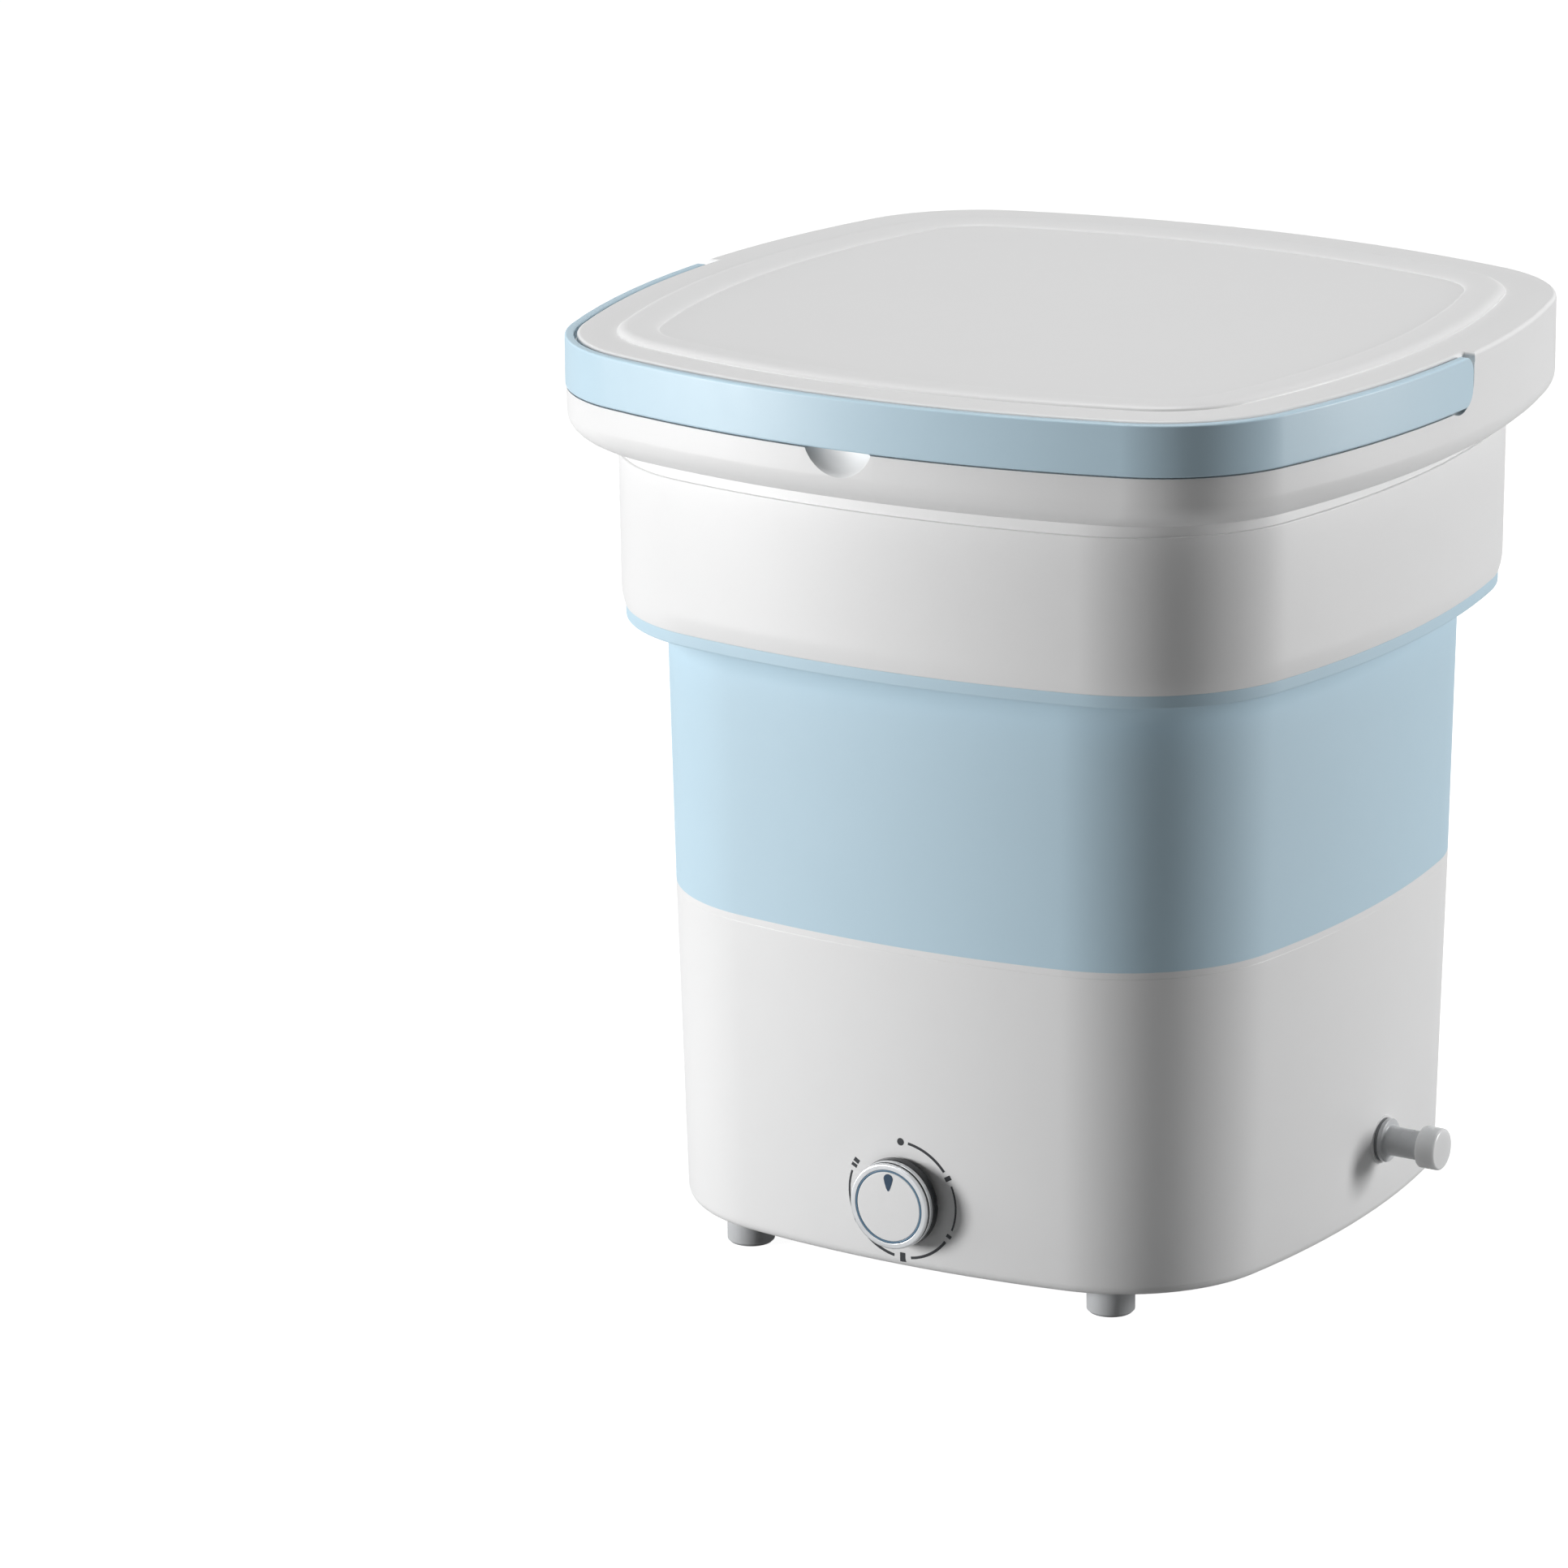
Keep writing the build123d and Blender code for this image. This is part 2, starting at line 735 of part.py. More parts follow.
# Motor shaft and its small pulley
with BuildPart() as motor_shaft:
    with BuildSketch(Plane.XY.offset(pulley_bottom)):
        with Locations((motor_x, 0)):
            Circle(motor_shaft_radius)
    extrude(amount=bracket_bottom - pulley_bottom + motor_shaft_depth - shaft_end_play)
motor_shaft.part.label = "motor_shaft"
export_step(motor_shaft.part, "parts/motor_shaft.step")
flange_thick = (pulley_width - groove_width) / 2
groove_bottom = pulley_bottom + flange_thick
with BuildPart() as motor_pulley:
    with BuildSketch(Plane.XY.offset(pulley_bottom)):
        with Locations((motor_x, 0)):
            Circle(motor_pulley_radius)
    extrude(amount=pulley_width)
    with BuildSketch(Plane.XY.offset(groove_bottom)):
        with Locations((motor_x, 0)):
            Circle(motor_pulley_radius + cut_past)
            Circle(motor_pulley_radius - motor_groove_depth, mode=Mode.SUBTRACT)
    extrude(amount=groove_width, mode=Mode.SUBTRACT)
    with BuildSketch(Plane.XY.offset(pulley_bottom - cut_past)):
        with Locations((motor_x, 0)):
            Circle(motor_shaft_radius + pin_seat_fit)
    extrude(amount=pulley_width + 2 * cut_past, mode=Mode.SUBTRACT)
motor_pulley.part.label = "motor_pulley"
export_step(motor_pulley.part, "parts/motor_pulley.step")

# Drive belt round both grooves
drive_seat = drive_pulley_radius - groove_depth + belt_seat_gap
motor_seat = motor_pulley_radius - motor_groove_depth + belt_seat_gap
with BuildPart() as drive_belt:
    with BuildSketch(Plane.XY.offset(groove_bottom + belt_side_gap)):
        with BuildSketch(mode=Mode.PRIVATE) as belt_inside:
            Circle(drive_seat)
            with Locations((motor_x, 0)):
                Circle(motor_seat)
            make_hull()
        Circle(drive_seat + belt_thick)
        with Locations((motor_x, 0)):
            Circle(motor_seat + belt_thick)
        make_hull()
        add(belt_inside.sketch, mode=Mode.SUBTRACT)
    extrude(amount=groove_width - 2 * belt_side_gap)
drive_belt.part.label = "drive_belt"
export_step(drive_belt.part, "parts/drive_belt.step")

# Drive pulley: a grooved rim, a thin web with round windows, and a hub that reaches up to the bearing
with BuildPart() as drive_pulley:
    with BuildSketch(Plane.XZ):
        with BuildLine():
            Polyline(
                (shaft_radius + pin_seat_fit, pulley_bottom + nut_height),
                (spacer_radius + rim_depth, pulley_bottom + nut_height),
                (spacer_radius + rim_depth, pulley_top - web_thick),
                (drive_pulley_radius - groove_depth - rim_depth, pulley_top - web_thick),
                (drive_pulley_radius - groove_depth - rim_depth, pulley_bottom),
                (drive_pulley_radius, pulley_bottom),
                (drive_pulley_radius, groove_bottom),
                (drive_pulley_radius - groove_depth, groove_bottom),
                (drive_pulley_radius - groove_depth, groove_bottom + groove_width),
                (drive_pulley_radius, groove_bottom + groove_width),
                (drive_pulley_radius, pulley_top),
                (spacer_radius, pulley_top),
                (spacer_radius, lower_bearing_bottom - small_gap),
                (shaft_radius + pin_seat_fit, lower_bearing_bottom - small_gap),
                close=True,
            )
        make_face()
    revolve(axis=Axis.Z)
    with BuildSketch(Plane.XY.offset(pulley_bottom)):
        with PolarLocations((spacer_radius + drive_pulley_radius) / 2, vane_count):
            Circle(web_hole_radius)
    extrude(amount=pulley_width + cut_past, mode=Mode.SUBTRACT)
drive_pulley.part.label = "drive_pulley"
export_step(drive_pulley.part, "parts/drive_pulley.step")

# Pulley nut under the hub
with BuildPart() as pulley_nut:
    with BuildSketch(Plane.XY.offset(pulley_bottom)):
        RegularPolygon(nut_width / 2, 6, major_radius=False)
        Circle(shaft_radius + pin_seat_fit, mode=Mode.SUBTRACT)
    extrude(amount=nut_height)
pulley_nut.part.label = "pulley_nut"
export_step(pulley_nut.part, "parts/pulley_nut.step")

# Two bearings in the boss of the pan and the seal above them
for bearing_name, bearing_level in (
    ("lower_bearing", lower_bearing_bottom),
    ("upper_bearing", upper_bearing_bottom),
):
    with BuildPart() as bearing:
        with BuildSketch(Plane.XY.offset(bearing_level)):
            Circle(bearing_radius)
            Circle(shaft_radius + running_fit, mode=Mode.SUBTRACT)
        extrude(amount=bearing_width)
        with BuildSketch(
            Plane.XY.offset(bearing_level),
            Plane.XY.offset(bearing_level + bearing_width - race_step),
        ):
            Circle(bearing_radius - race_width)
            Circle(shaft_radius + race_width, mode=Mode.SUBTRACT)
        extrude(amount=race_step, mode=Mode.SUBTRACT)
    bearing.part.label = bearing_name
    export_step(bearing.part, f"parts/{bearing_name}.step")
with BuildPart() as shaft_seal:
    with BuildSketch(Plane.XZ):
        with BuildLine():
            Polyline(
                (shaft_radius + running_fit, seal_bottom + seal_height / 2),
                (shaft_radius + race_width, seal_bottom),
                (bearing_radius, seal_bottom),
                (bearing_radius, seal_bottom + seal_height),
                (shaft_radius + race_width, seal_bottom + seal_height),
                close=True,
            )
        make_face()
    revolve(axis=Axis.Z)
shaft_seal.part.label = "shaft_seal"
export_step(shaft_seal.part, "parts/shaft_seal.step")

# Pulsator levels: its rim runs just above the floor of the tub and its hub stands highest
disc_bottom = floor_top + pulsator_rise
hub_bottom = floor_top + small_gap
disc_top = disc_bottom + pulsator_thick
hub_top = disc_top + pulsator_dome + vane_height
screw_seat = disc_top + pulsator_dome

# Drive shaft from the pulley nut to the screw seat of the pulsator
with BuildPart() as drive_shaft:
    with BuildSketch(Plane.XY.offset(pulley_bottom - small_gap)):
        Circle(shaft_radius)
    extrude(amount=screw_seat - pulley_bottom + small_gap)
    with BuildSketch(Plane.XY.offset(screw_seat - screw_length)):
        Circle(screw_radius + fixed_fit)
    extrude(amount=screw_length, mode=Mode.SUBTRACT)
drive_shaft.part.label = "drive_shaft"
export_step(drive_shaft.part, "parts/drive_shaft.step")

# Pulsator: a domed disc with radial vanes and the dogs that turn the basket
vane_length = pulsator_radius - vane_start - pulsator_thick
with BuildPart() as pulsator:
    with BuildSketch(Plane.XZ):
        with BuildLine():
            start_line = Polyline(
                (shaft_radius + pin_seat_fit, hub_bottom),
                (hub_radius, hub_bottom),
                (hub_radius, disc_bottom),
                (pulsator_radius - pulsator_thick, disc_bottom),
                (pulsator_radius, disc_bottom + pulsator_thick / 2),
                (pulsator_radius - pulsator_thick / 2, disc_top),
            )
            dome_middle = (pulsator_radius + hub_radius) / 2
            ThreePointArc(
                start_line @ 1, (dome_middle, disc_top + dome_bulge * pulsator_dome), (hub_radius, screw_seat)
            )
            Polyline(
                (hub_radius, screw_seat),
                (hub_radius - pulsator_thick / 2, hub_top),
                (screw_head_radius + screw_room, hub_top),
                (screw_head_radius + screw_room, screw_seat),
                (shaft_radius + pin_seat_fit, screw_seat),
                (shaft_radius + pin_seat_fit, hub_bottom),
            )
        make_face()
    revolve(axis=Axis.Z)
    with BuildSketch(Plane.XY.offset(disc_bottom + pulsator_thick / 2)):
        with PolarLocations(vane_start + vane_length / 2, vane_count):
            SlotOverall(vane_length, vane_width)
    extrude(amount=hub_top - disc_bottom - pulsator_thick / 2, taper=vane_draft)
    with BuildSketch(Plane.XY.offset(disc_bottom + pulsator_thick / 2)):
        with PolarLocations(dog_circle, dog_count, start_angle=180 / vane_count):
            Circle(dog_radius)
    extrude(amount=dog_height)
pulsator.part.label = "pulsator"
export_step(pulsator.part, "parts/pulsator.step")
with BuildPart() as pulsator_screw:
    with BuildSketch(Plane.XY.offset(screw_seat)):
        Circle(screw_head_radius + screw_room / 2)
    extrude(amount=screw_head_height)
    with BuildSketch(Plane.XY.offset(screw_seat)):
        Circle(screw_radius)
    extrude(amount=screw_end_gap - screw_length)
pulsator_screw.part.label = "pulsator_screw"
export_step(pulsator_screw.part, "parts/pulsator_screw.step")

# Spin basket levels and radii
basket_bottom = floor_top + basket_rise
basket_seat = hub_top + basket_floor_air
upper_outer = basket_radius - basket_rim_width
upper_inner = upper_outer - basket_wall
lower_outer = upper_outer - basket_step
lower_inner = lower_outer - basket_wall
stop_level = basket_bottom + basket_lower_height
upper_bottom = stop_level - basket_lip_thick
upper_top = upper_bottom + basket_upper_height

# Lower section: a slotted wall with a solid foot band, a step inside it and an outward stop at its top
with BuildPart() as basket_lower:
    with BuildSketch(Plane.XZ):
        with BuildLine():
            Polyline(
                (lower_inner - basket_ledge, basket_bottom),
                (lower_outer, basket_bottom),
                (lower_outer, stop_level + basket_stop_air),
                (lower_outer + basket_lip_width, stop_level + basket_stop_air),
                (lower_outer + basket_lip_width, stop_level + basket_stop_air + basket_stop_thick),
                (lower_inner, stop_level + basket_stop_air + basket_stop_thick),
                (lower_inner, basket_seat),
                (lower_inner - basket_ledge, basket_seat),
                close=True,
            )
        make_face()
    revolve(axis=Axis.Z)
    with BuildSketch(Plane.XY.offset(basket_bottom + bottom_band)):
        with PolarLocations(lower_outer - basket_wall / 2, slot_count):
            Rectangle(3 * basket_wall, slot_width)
    extrude(amount=lower_slot_height, mode=Mode.SUBTRACT)
basket_lower.part.label = "basket_lower"
export_step(basket_lower.part, "parts/basket_lower.step")

# Slotted floor that lies on the lower section's step, with holes for the pulsator's dogs
with BuildPart() as basket_floor:
    with BuildSketch(Plane.XY.offset(basket_seat)):
        Circle(lower_inner - fixed_fit)
        with PolarLocations(dog_circle, dog_count, start_angle=180 / vane_count):
            Circle(dog_radius + dog_gap, mode=Mode.SUBTRACT)
        with PolarLocations(dog_circle / 2, inner_slot_count, start_angle=180 / inner_slot_count):
            SlotOverall(floor_slot_length, slot_width, mode=Mode.SUBTRACT)
        with PolarLocations(dog_circle + floor_slot_length / 2, outer_slot_count):
            SlotOverall(floor_slot_length / 2, slot_width, mode=Mode.SUBTRACT)
    extrude(amount=basket_floor_thick)
basket_floor.part.label = "basket_floor"
export_step(basket_floor.part, "parts/basket_floor.step")

# Upper section: a slotted wall with a rolled rim, and an inward lip that hangs on the lower section's stop
with BuildPart() as basket_upper:
    with BuildSketch(Plane.XZ) as basket_section:
        with BuildLine():
            Polyline(
                (lower_outer + basket_slide_gap, upper_bottom),
                (upper_outer, upper_bottom),
                (upper_outer, upper_top - basket_rim_height),
                (basket_radius, upper_top - basket_rim_height),
                (basket_radius, upper_top),
                (upper_inner, upper_top),
                (upper_inner, stop_level),
                (lower_outer + basket_slide_gap, stop_level),
                close=True,
            )
        make_face()
        rim_corners = basket_section.vertices().group_by(Axis.X)[-1]
        fillet(rim_corners, basket_rim_round)
    revolve(axis=Axis.Z)
    with BuildSketch(Plane.XY.offset(upper_top - basket_rim_height)):
        Circle(basket_radius - basket_wall)
        Circle(upper_outer, mode=Mode.SUBTRACT)
    extrude(amount=basket_rim_height - basket_wall, mode=Mode.SUBTRACT)
    slot_level = upper_top - basket_rim_height - upper_slot_height
    with BuildSketch(Plane.XY.offset(slot_level)):
        with PolarLocations(upper_outer - basket_wall / 2, slot_count):
            Rectangle(3 * basket_wall, slot_width)
    extrude(amount=upper_slot_height, mode=Mode.SUBTRACT)
basket_upper.part.label = "basket_upper"
export_step(basket_upper.part, "parts/basket_upper.step")

# Clip hooked over the basket's rim at its front
with BuildPart() as basket_clip:
    with BuildSketch(Plane.YZ):
        with BuildLine():
            Polyline(
                (-basket_radius - small_gap, upper_top - clip_drop),
                (-basket_radius - small_gap - clip_thick, upper_top - clip_drop),
                (-basket_radius - small_gap - clip_thick, upper_top + small_gap + clip_thick),
                (-upper_inner + small_gap + clip_thick, upper_top + small_gap + clip_thick),
                (-upper_inner + small_gap + clip_thick, upper_top - clip_drop),
                (-upper_inner + small_gap, upper_top - clip_drop),
                (-upper_inner + small_gap, upper_top + small_gap),
                (-basket_radius - small_gap, upper_top + small_gap),
                close=True,
            )
        make_face()
    extrude(amount=clip_width / 2, both=True)
basket_clip.part.label = "basket_clip"
export_step(basket_clip.part, "parts/basket_clip.step")

# Rotary switch behind the front wall, its bushing through the wall and its nut outside
switch_face = knob_pad - pad_depth
with BuildPart() as rotary_switch:
    with BuildSketch(Plane.XZ.offset(switch_face - switch_depth)):
        with Locations((knob_x, knob_z)):
            RectangleRounded(switch_width, switch_height, switch_corner)
    extrude(amount=switch_depth)
    with BuildSketch(Plane.XZ.offset(switch_face)):
        with Locations((knob_x, knob_z)):
            Circle(bushing_radius)
    extrude(amount=pad_depth + bushing_reach)
    with BuildSketch(Plane.XZ.offset(switch_face - switch_depth / 2)):
        with Locations((knob_x, knob_z)):
            Circle(knob_shaft_radius + running_fit)
    extrude(amount=switch_depth + pad_depth, mode=Mode.SUBTRACT)
rotary_switch.part.label = "rotary_switch"
export_step(rotary_switch.part, "parts/rotary_switch.step")
with BuildPart() as switch_nut:
    with BuildSketch(Plane.XZ.offset(knob_pad)):
        with Locations((knob_x, knob_z)):
            RegularPolygon(switch_nut_width / 2, 6, major_radius=False)
            Circle(bushing_radius + fixed_fit, mode=Mode.SUBTRACT)
    extrude(amount=switch_nut_thick)
switch_nut.part.label = "switch_nut"
export_step(switch_nut.part, "parts/switch_nut.step")

# Knob with its recess over the nut, its shaft, and the ring, cap and pointer set in its face
knob_back = knob_pad + knob_air
knob_front = base_face(knob_z) + knob_reach
with BuildPart() as knob:
    with BuildSketch(Plane.XZ.offset(knob_back)):
        with Locations((knob_x, knob_z)):
            Circle(knob_radius)
    extrude(amount=knob_front - knob_back, taper=knob_draft)
    fillet(knob.edges().group_by(Axis.Y)[0], knob_edge_round)
    with BuildSketch(Plane.XZ.offset(knob_back)):
        with Locations((knob_x, knob_z)):
            Circle(switch_nut_width / 2 + nut_room)
    extrude(amount=switch_nut_thick, mode=Mode.SUBTRACT)
    with BuildSketch(Plane.XZ.offset(knob_back)):
        with Locations((knob_x, knob_z)):
            Circle(knob_shaft_radius + pin_seat_fit)
    extrude(amount=knob_front - knob_back - cap_thick - shaft_stop, mode=Mode.SUBTRACT)
    with BuildSketch(Plane.XZ.offset(knob_front - cap_thick)):
        with Locations((knob_x, knob_z)):
            Circle(cap_radius + ring_width)
    extrude(amount=cap_thick, mode=Mode.SUBTRACT)
knob.part.label = "knob"
export_step(knob.part, "parts/knob.step")
with BuildPart() as knob_shaft:
    with BuildSketch(Plane.XZ.offset(switch_face - switch_depth / 2 + small_gap)):
        with Locations((knob_x, knob_z)):
            Circle(knob_shaft_radius)
    extrude(amount=knob_front - cap_thick - shaft_stop - switch_face + switch_depth / 2 - small_gap)
knob_shaft.part.label = "knob_shaft"
export_step(knob_shaft.part, "parts/knob_shaft.step")
with BuildPart() as knob_ring:
    with BuildSketch(Plane.XZ.offset(knob_front - cap_thick)):
        with Locations((knob_x, knob_z)):
            Circle(cap_radius + ring_width)
            Circle(cap_radius, mode=Mode.SUBTRACT)
    extrude(amount=cap_thick)
knob_ring.part.label = "knob_ring"
export_step(knob_ring.part, "parts/knob_ring.step")
with BuildPart() as knob_cap:
    with BuildSketch(Plane.XZ.offset(knob_front - cap_thick)):
        with Locations((knob_x, knob_z)):
            Circle(cap_radius)
    extrude(amount=cap_thick)
    with BuildSketch(Plane.XZ.offset(knob_front - cap_thick / 2)):
        with Locations((knob_x, knob_z + pointer_reach - 2 * pointer_radius)):
            SlotOverall(4 * pointer_radius, 2 * pointer_radius, rotation=90)
    extrude(amount=cap_thick, mode=Mode.SUBTRACT)
knob_cap.part.label = "knob_cap"
export_step(knob_cap.part, "parts/knob_cap.step")
with BuildPart() as knob_pointer:
    with BuildSketch(Plane.XZ.offset(knob_front - cap_thick / 2)):
        with Locations((knob_x, knob_z + pointer_reach - 2 * pointer_radius)):
            SlotOverall(4 * pointer_radius, 2 * pointer_radius, rotation=90)
    extrude(amount=cap_thick / 2)
knob_pointer.part.label = "knob_pointer"
export_step(knob_pointer.part, "parts/knob_pointer.step")

# Drain: spout through the right wall, its gasket and nut, the hose from the sump and its clamps
drain_inner_face = drain_pad - pad_depth
drain_nut_end = drain_inner_face - drain_nut_thick
spout_inner_end = drain_nut_end - barb_length
spout_flange = drain_pad + gasket_thick
spout_end = base_face(drain_z) + spout_reach
with BuildPart() as drain_spout:
    Bar((spout_inner_end, drain_y, drain_z), (1, 0, 0), pipe_radius, spout_flange - spout_inner_end)
    Bar((spout_flange, drain_y, drain_z), (1, 0, 0), spout_flange_radius, spout_flange_thick)
    Bar((spout_flange, drain_y, drain_z), (1, 0, 0), spout_radius, spout_end - spout_flange)
    Bar(
        (spout_inner_end - cut_past, drain_y, drain_z),
        (1, 0, 0),
        spout_bore,
        spout_end - spout_inner_end + 2 * cut_past,
        mode=Mode.SUBTRACT,
    )
drain_spout.part.label = "drain_spout"
export_step(drain_spout.part, "parts/drain_spout.step")
with BuildPart() as drain_gasket:
    Bar((drain_pad, drain_y, drain_z), (1, 0, 0), spout_flange_radius, gasket_thick)
    Bar((drain_pad, drain_y, drain_z), (1, 0, 0), pipe_radius + fixed_fit, gasket_thick, mode=Mode.SUBTRACT)
drain_gasket.part.label = "drain_gasket"
export_step(drain_gasket.part, "parts/drain_gasket.step")
with BuildPart() as drain_nut:
    with BuildSketch(Plane.YZ.offset(drain_nut_end)):
        with Locations((drain_y, drain_z)):
            RegularPolygon(drain_nut_width / 2, 6, major_radius=False)
            Circle(pipe_radius + fixed_fit, mode=Mode.SUBTRACT)
    extrude(amount=drain_nut_thick)
drain_nut.part.label = "drain_nut"
export_step(drain_nut.part, "parts/drain_nut.step")
hose_start = sump_x + sump_radius + hose_gap
hose_end = drain_nut_end - hose_gap
hose_outer = pipe_radius + fixed_fit + hose_wall
with BuildPart() as drain_hose:
    Bar((hose_start, drain_y, drain_z), (1, 0, 0), hose_outer, hose_end - hose_start)
    Bar(
        (hose_start, drain_y, drain_z),
        (1, 0, 0),
        pipe_radius + fixed_fit,
        hose_end - hose_start,
        mode=Mode.SUBTRACT,
    )
drain_hose.part.label = "drain_hose"
export_step(drain_hose.part, "parts/drain_hose.step")
with BuildPart() as hose_clamps:
    for clamp_start in (hose_start + hose_gap, hose_end - hose_gap - clamp_width):
        Bar(
            (clamp_start, drain_y, drain_z),
            (1, 0, 0),
            hose_outer + fixed_fit + clamp_thick,
            clamp_width,
        )
        Bar(
            (clamp_start, drain_y, drain_z),
            (1, 0, 0),
            hose_outer + fixed_fit,
            clamp_width,
            mode=Mode.SUBTRACT,
        )
hose_clamps.part.label = "hose_clamps"
export_step(hose_clamps.part, "parts/hose_clamps.step")

# Push-on cap over the end of the spout
drain_cap_end = spout_end + cap_air + cap_end
with BuildPart() as drain_cap:
    Bar((drain_cap_end - cap_length, drain_y, drain_z), (1, 0, 0), cap_outer_radius, cap_length)
    fillet(drain_cap.edges().group_by(Axis.X)[-1], cap_edge_round)
    Bar(
        (drain_cap_end - cap_length, drain_y, drain_z),
        (1, 0, 0),
        spout_radius + running_fit,
        cap_length - cap_end,
        mode=Mode.SUBTRACT,
    )
drain_cap.part.label = "drain_cap"
export_step(drain_cap.part, "parts/drain_cap.step")

# Power inlet through the back wall, with its centre contact, and its nut inside
inlet_inner_end = inlet_pad - inlet_depth
with BuildPart() as power_inlet:
    Bar((inlet_x, inlet_inner_end, inlet_z), (0, 1, 0), inlet_barrel_radius, inlet_depth)
    Bar((inlet_x, inlet_pad, inlet_z), (0, 1, 0), inlet_flange_radius, inlet_flange_thick)
    Bar(
        (inlet_x, inlet_pad + inlet_flange_thick - inlet_bore_depth, inlet_z),
        (0, 1, 0),
        inlet_bore,
        inlet_bore_depth,
        mode=Mode.SUBTRACT,
    )
    Bar(
        (inlet_x, inlet_pad + inlet_flange_thick - inlet_bore_depth, inlet_z),
        (0, 1, 0),
        inlet_pin_radius,
        inlet_bore_depth - inlet_pin_inset,
    )
power_inlet.part.label = "power_inlet"
export_step(power_inlet.part, "parts/power_inlet.step")
with BuildPart() as inlet_nut:
    with BuildSketch(Plane.XZ.offset(-(inlet_pad - pad_depth))):
        with Locations((inlet_x, inlet_z)):
            RegularPolygon(inlet_nut_width / 2, 6, major_radius=False)
            Circle(inlet_barrel_radius + fixed_fit, mode=Mode.SUBTRACT)
    extrude(amount=inlet_nut_thick)
inlet_nut.part.label = "inlet_nut"
export_step(inlet_nut.part, "parts/inlet_nut.step")

# Control board on the posts of the bottom cover
board_top = board_z + board_thick
with BuildPart() as control_board:
    with BuildSketch(Plane.XY.offset(board_z)):
        with Locations((board_x, board_y)):
            Rectangle(board_length, board_width)
            with GridLocations(2 * board_post_x, 2 * board_post_y, 2, 2):
                Circle(screw_radius + hole_gap, mode=Mode.SUBTRACT)
    extrude(amount=board_thick)
control_board.part.label = "control_board"
export_step(control_board.part, "parts/control_board.step")

# Connectors: power and motor at the left edge of the board, the switch at its front edge
left_edge = board_x - board_length / 2
front_edge = board_y - board_width / 2
power_plug_y = board_y + connector_row
motor_plug_y = board_y - connector_row
switch_plug_x = board_x + connector_offset
with BuildPart() as board_connectors:
    with BuildSketch(Plane.XY.offset(board_top)):
        with Locations((left_edge + connector_depth / 2, board_y)):
            with GridLocations(0, power_plug_y - motor_plug_y, 1, 2):
                Rectangle(connector_depth, connector_length)
        with Locations((switch_plug_x, front_edge + connector_depth / 2)):
            Rectangle(connector_length, connector_depth)
    extrude(amount=connector_height)
board_connectors.part.label = "board_connectors"
export_step(board_connectors.part, "parts/board_connectors.step")

# Parts soldered on the board: a capacitor, a relay and a driver with its heat sink
with BuildPart() as board_components:
    with BuildSketch(Plane.XY.offset(board_top)):
        with Locations((board_x + capacitor_shift, board_y + capacitor_radius)):
            Circle(capacitor_radius)
    extrude(amount=capacitor_height)
    with BuildSketch(Plane.XY.offset(board_top)):
        with Locations((board_x - relay_shift, board_y)):
            Rectangle(relay_width, relay_length)
    extrude(amount=relay_height)
    with BuildSketch(Plane.XY.offset(board_top)):
        with Locations((board_x + capacitor_shift, board_y - capacitor_radius)):
            Rectangle(relay_length, sink_thick)
            with GridLocations(relay_length / 4, 0, 4, 1):
                Rectangle(sink_thick, 3 * sink_thick)
    extrude(amount=relay_height)
board_components.part.label = "board_components"
export_step(board_components.part, "parts/board_components.step")

# Leads: straight runs joined by tangent arcs, each arc as large as its two runs allow
plug_z = board_top + connector_height / 2
terminal_end = motor_radius + terminal_depth
switch_back = switch_depth - switch_face
switch_run = front_edge - switch_back
lead_routes = {
    "power_lead": [
        (inlet_x, inlet_inner_end, inlet_z),
        (inlet_x, inlet_inner_end - lead_out, inlet_z),
        (inlet_x + 9, inlet_inner_end - 25, inlet_z - 3),
        (left_edge - lead_out, power_plug_y, plug_z),
        (left_edge, power_plug_y, plug_z),
    ],
    "motor_lead": [
        (motor_x, terminal_end, terminal_z),
        (motor_x, terminal_end + lead_out, terminal_z),
        (motor_x + 10, terminal_end + 0.77 * (motor_plug_y - terminal_end), terminal_z - 2),
        (motor_x + 32, motor_plug_y - 1, terminal_z - 6),
        (left_edge - lead_out, motor_plug_y, plug_z),
        (left_edge, motor_plug_y, plug_z),
    ],
    "switch_lead": [
        (knob_x, switch_back, knob_z),
        (knob_x, switch_back + lead_out, knob_z),
        (knob_x + 12, switch_back + 0.23 * switch_run, knob_z - 1),
        (switch_plug_x - 11, switch_back + 0.39 * switch_run, knob_z - 2),
        (switch_plug_x + 2, switch_back + 0.58 * switch_run, knob_z - 3.5),
        (switch_plug_x + 4, switch_back + 0.76 * switch_run, knob_z - 6),
        (switch_plug_x, front_edge - lead_out, plug_z),
        (switch_plug_x, front_edge, plug_z),
    ],
}
for lead_name, points in lead_routes.items():
    radii = []
    for before, here, after in zip(points, points[1:], points[2:]):
        run_in = Vector(*here) - Vector(*before)
        run_out = Vector(*after) - Vector(*here)
        half_turn = radians(run_in.get_angle(run_out)) / 2
        radii.append(bend_share * min(run_in.length, run_out.length) / tan(half_turn))
    first_run = Vector(*points[1]) - Vector(*points[0])
    with BuildPart() as lead:
        with BuildLine():
            FilletPolyline(*points, radius=radii)
        with BuildSketch(Plane(origin=points[0], z_dir=first_run)):
            Circle(lead_radius)
        sweep()
    lead.part.label = lead_name
    export_step(lead.part, f"parts/{lead_name}.step")

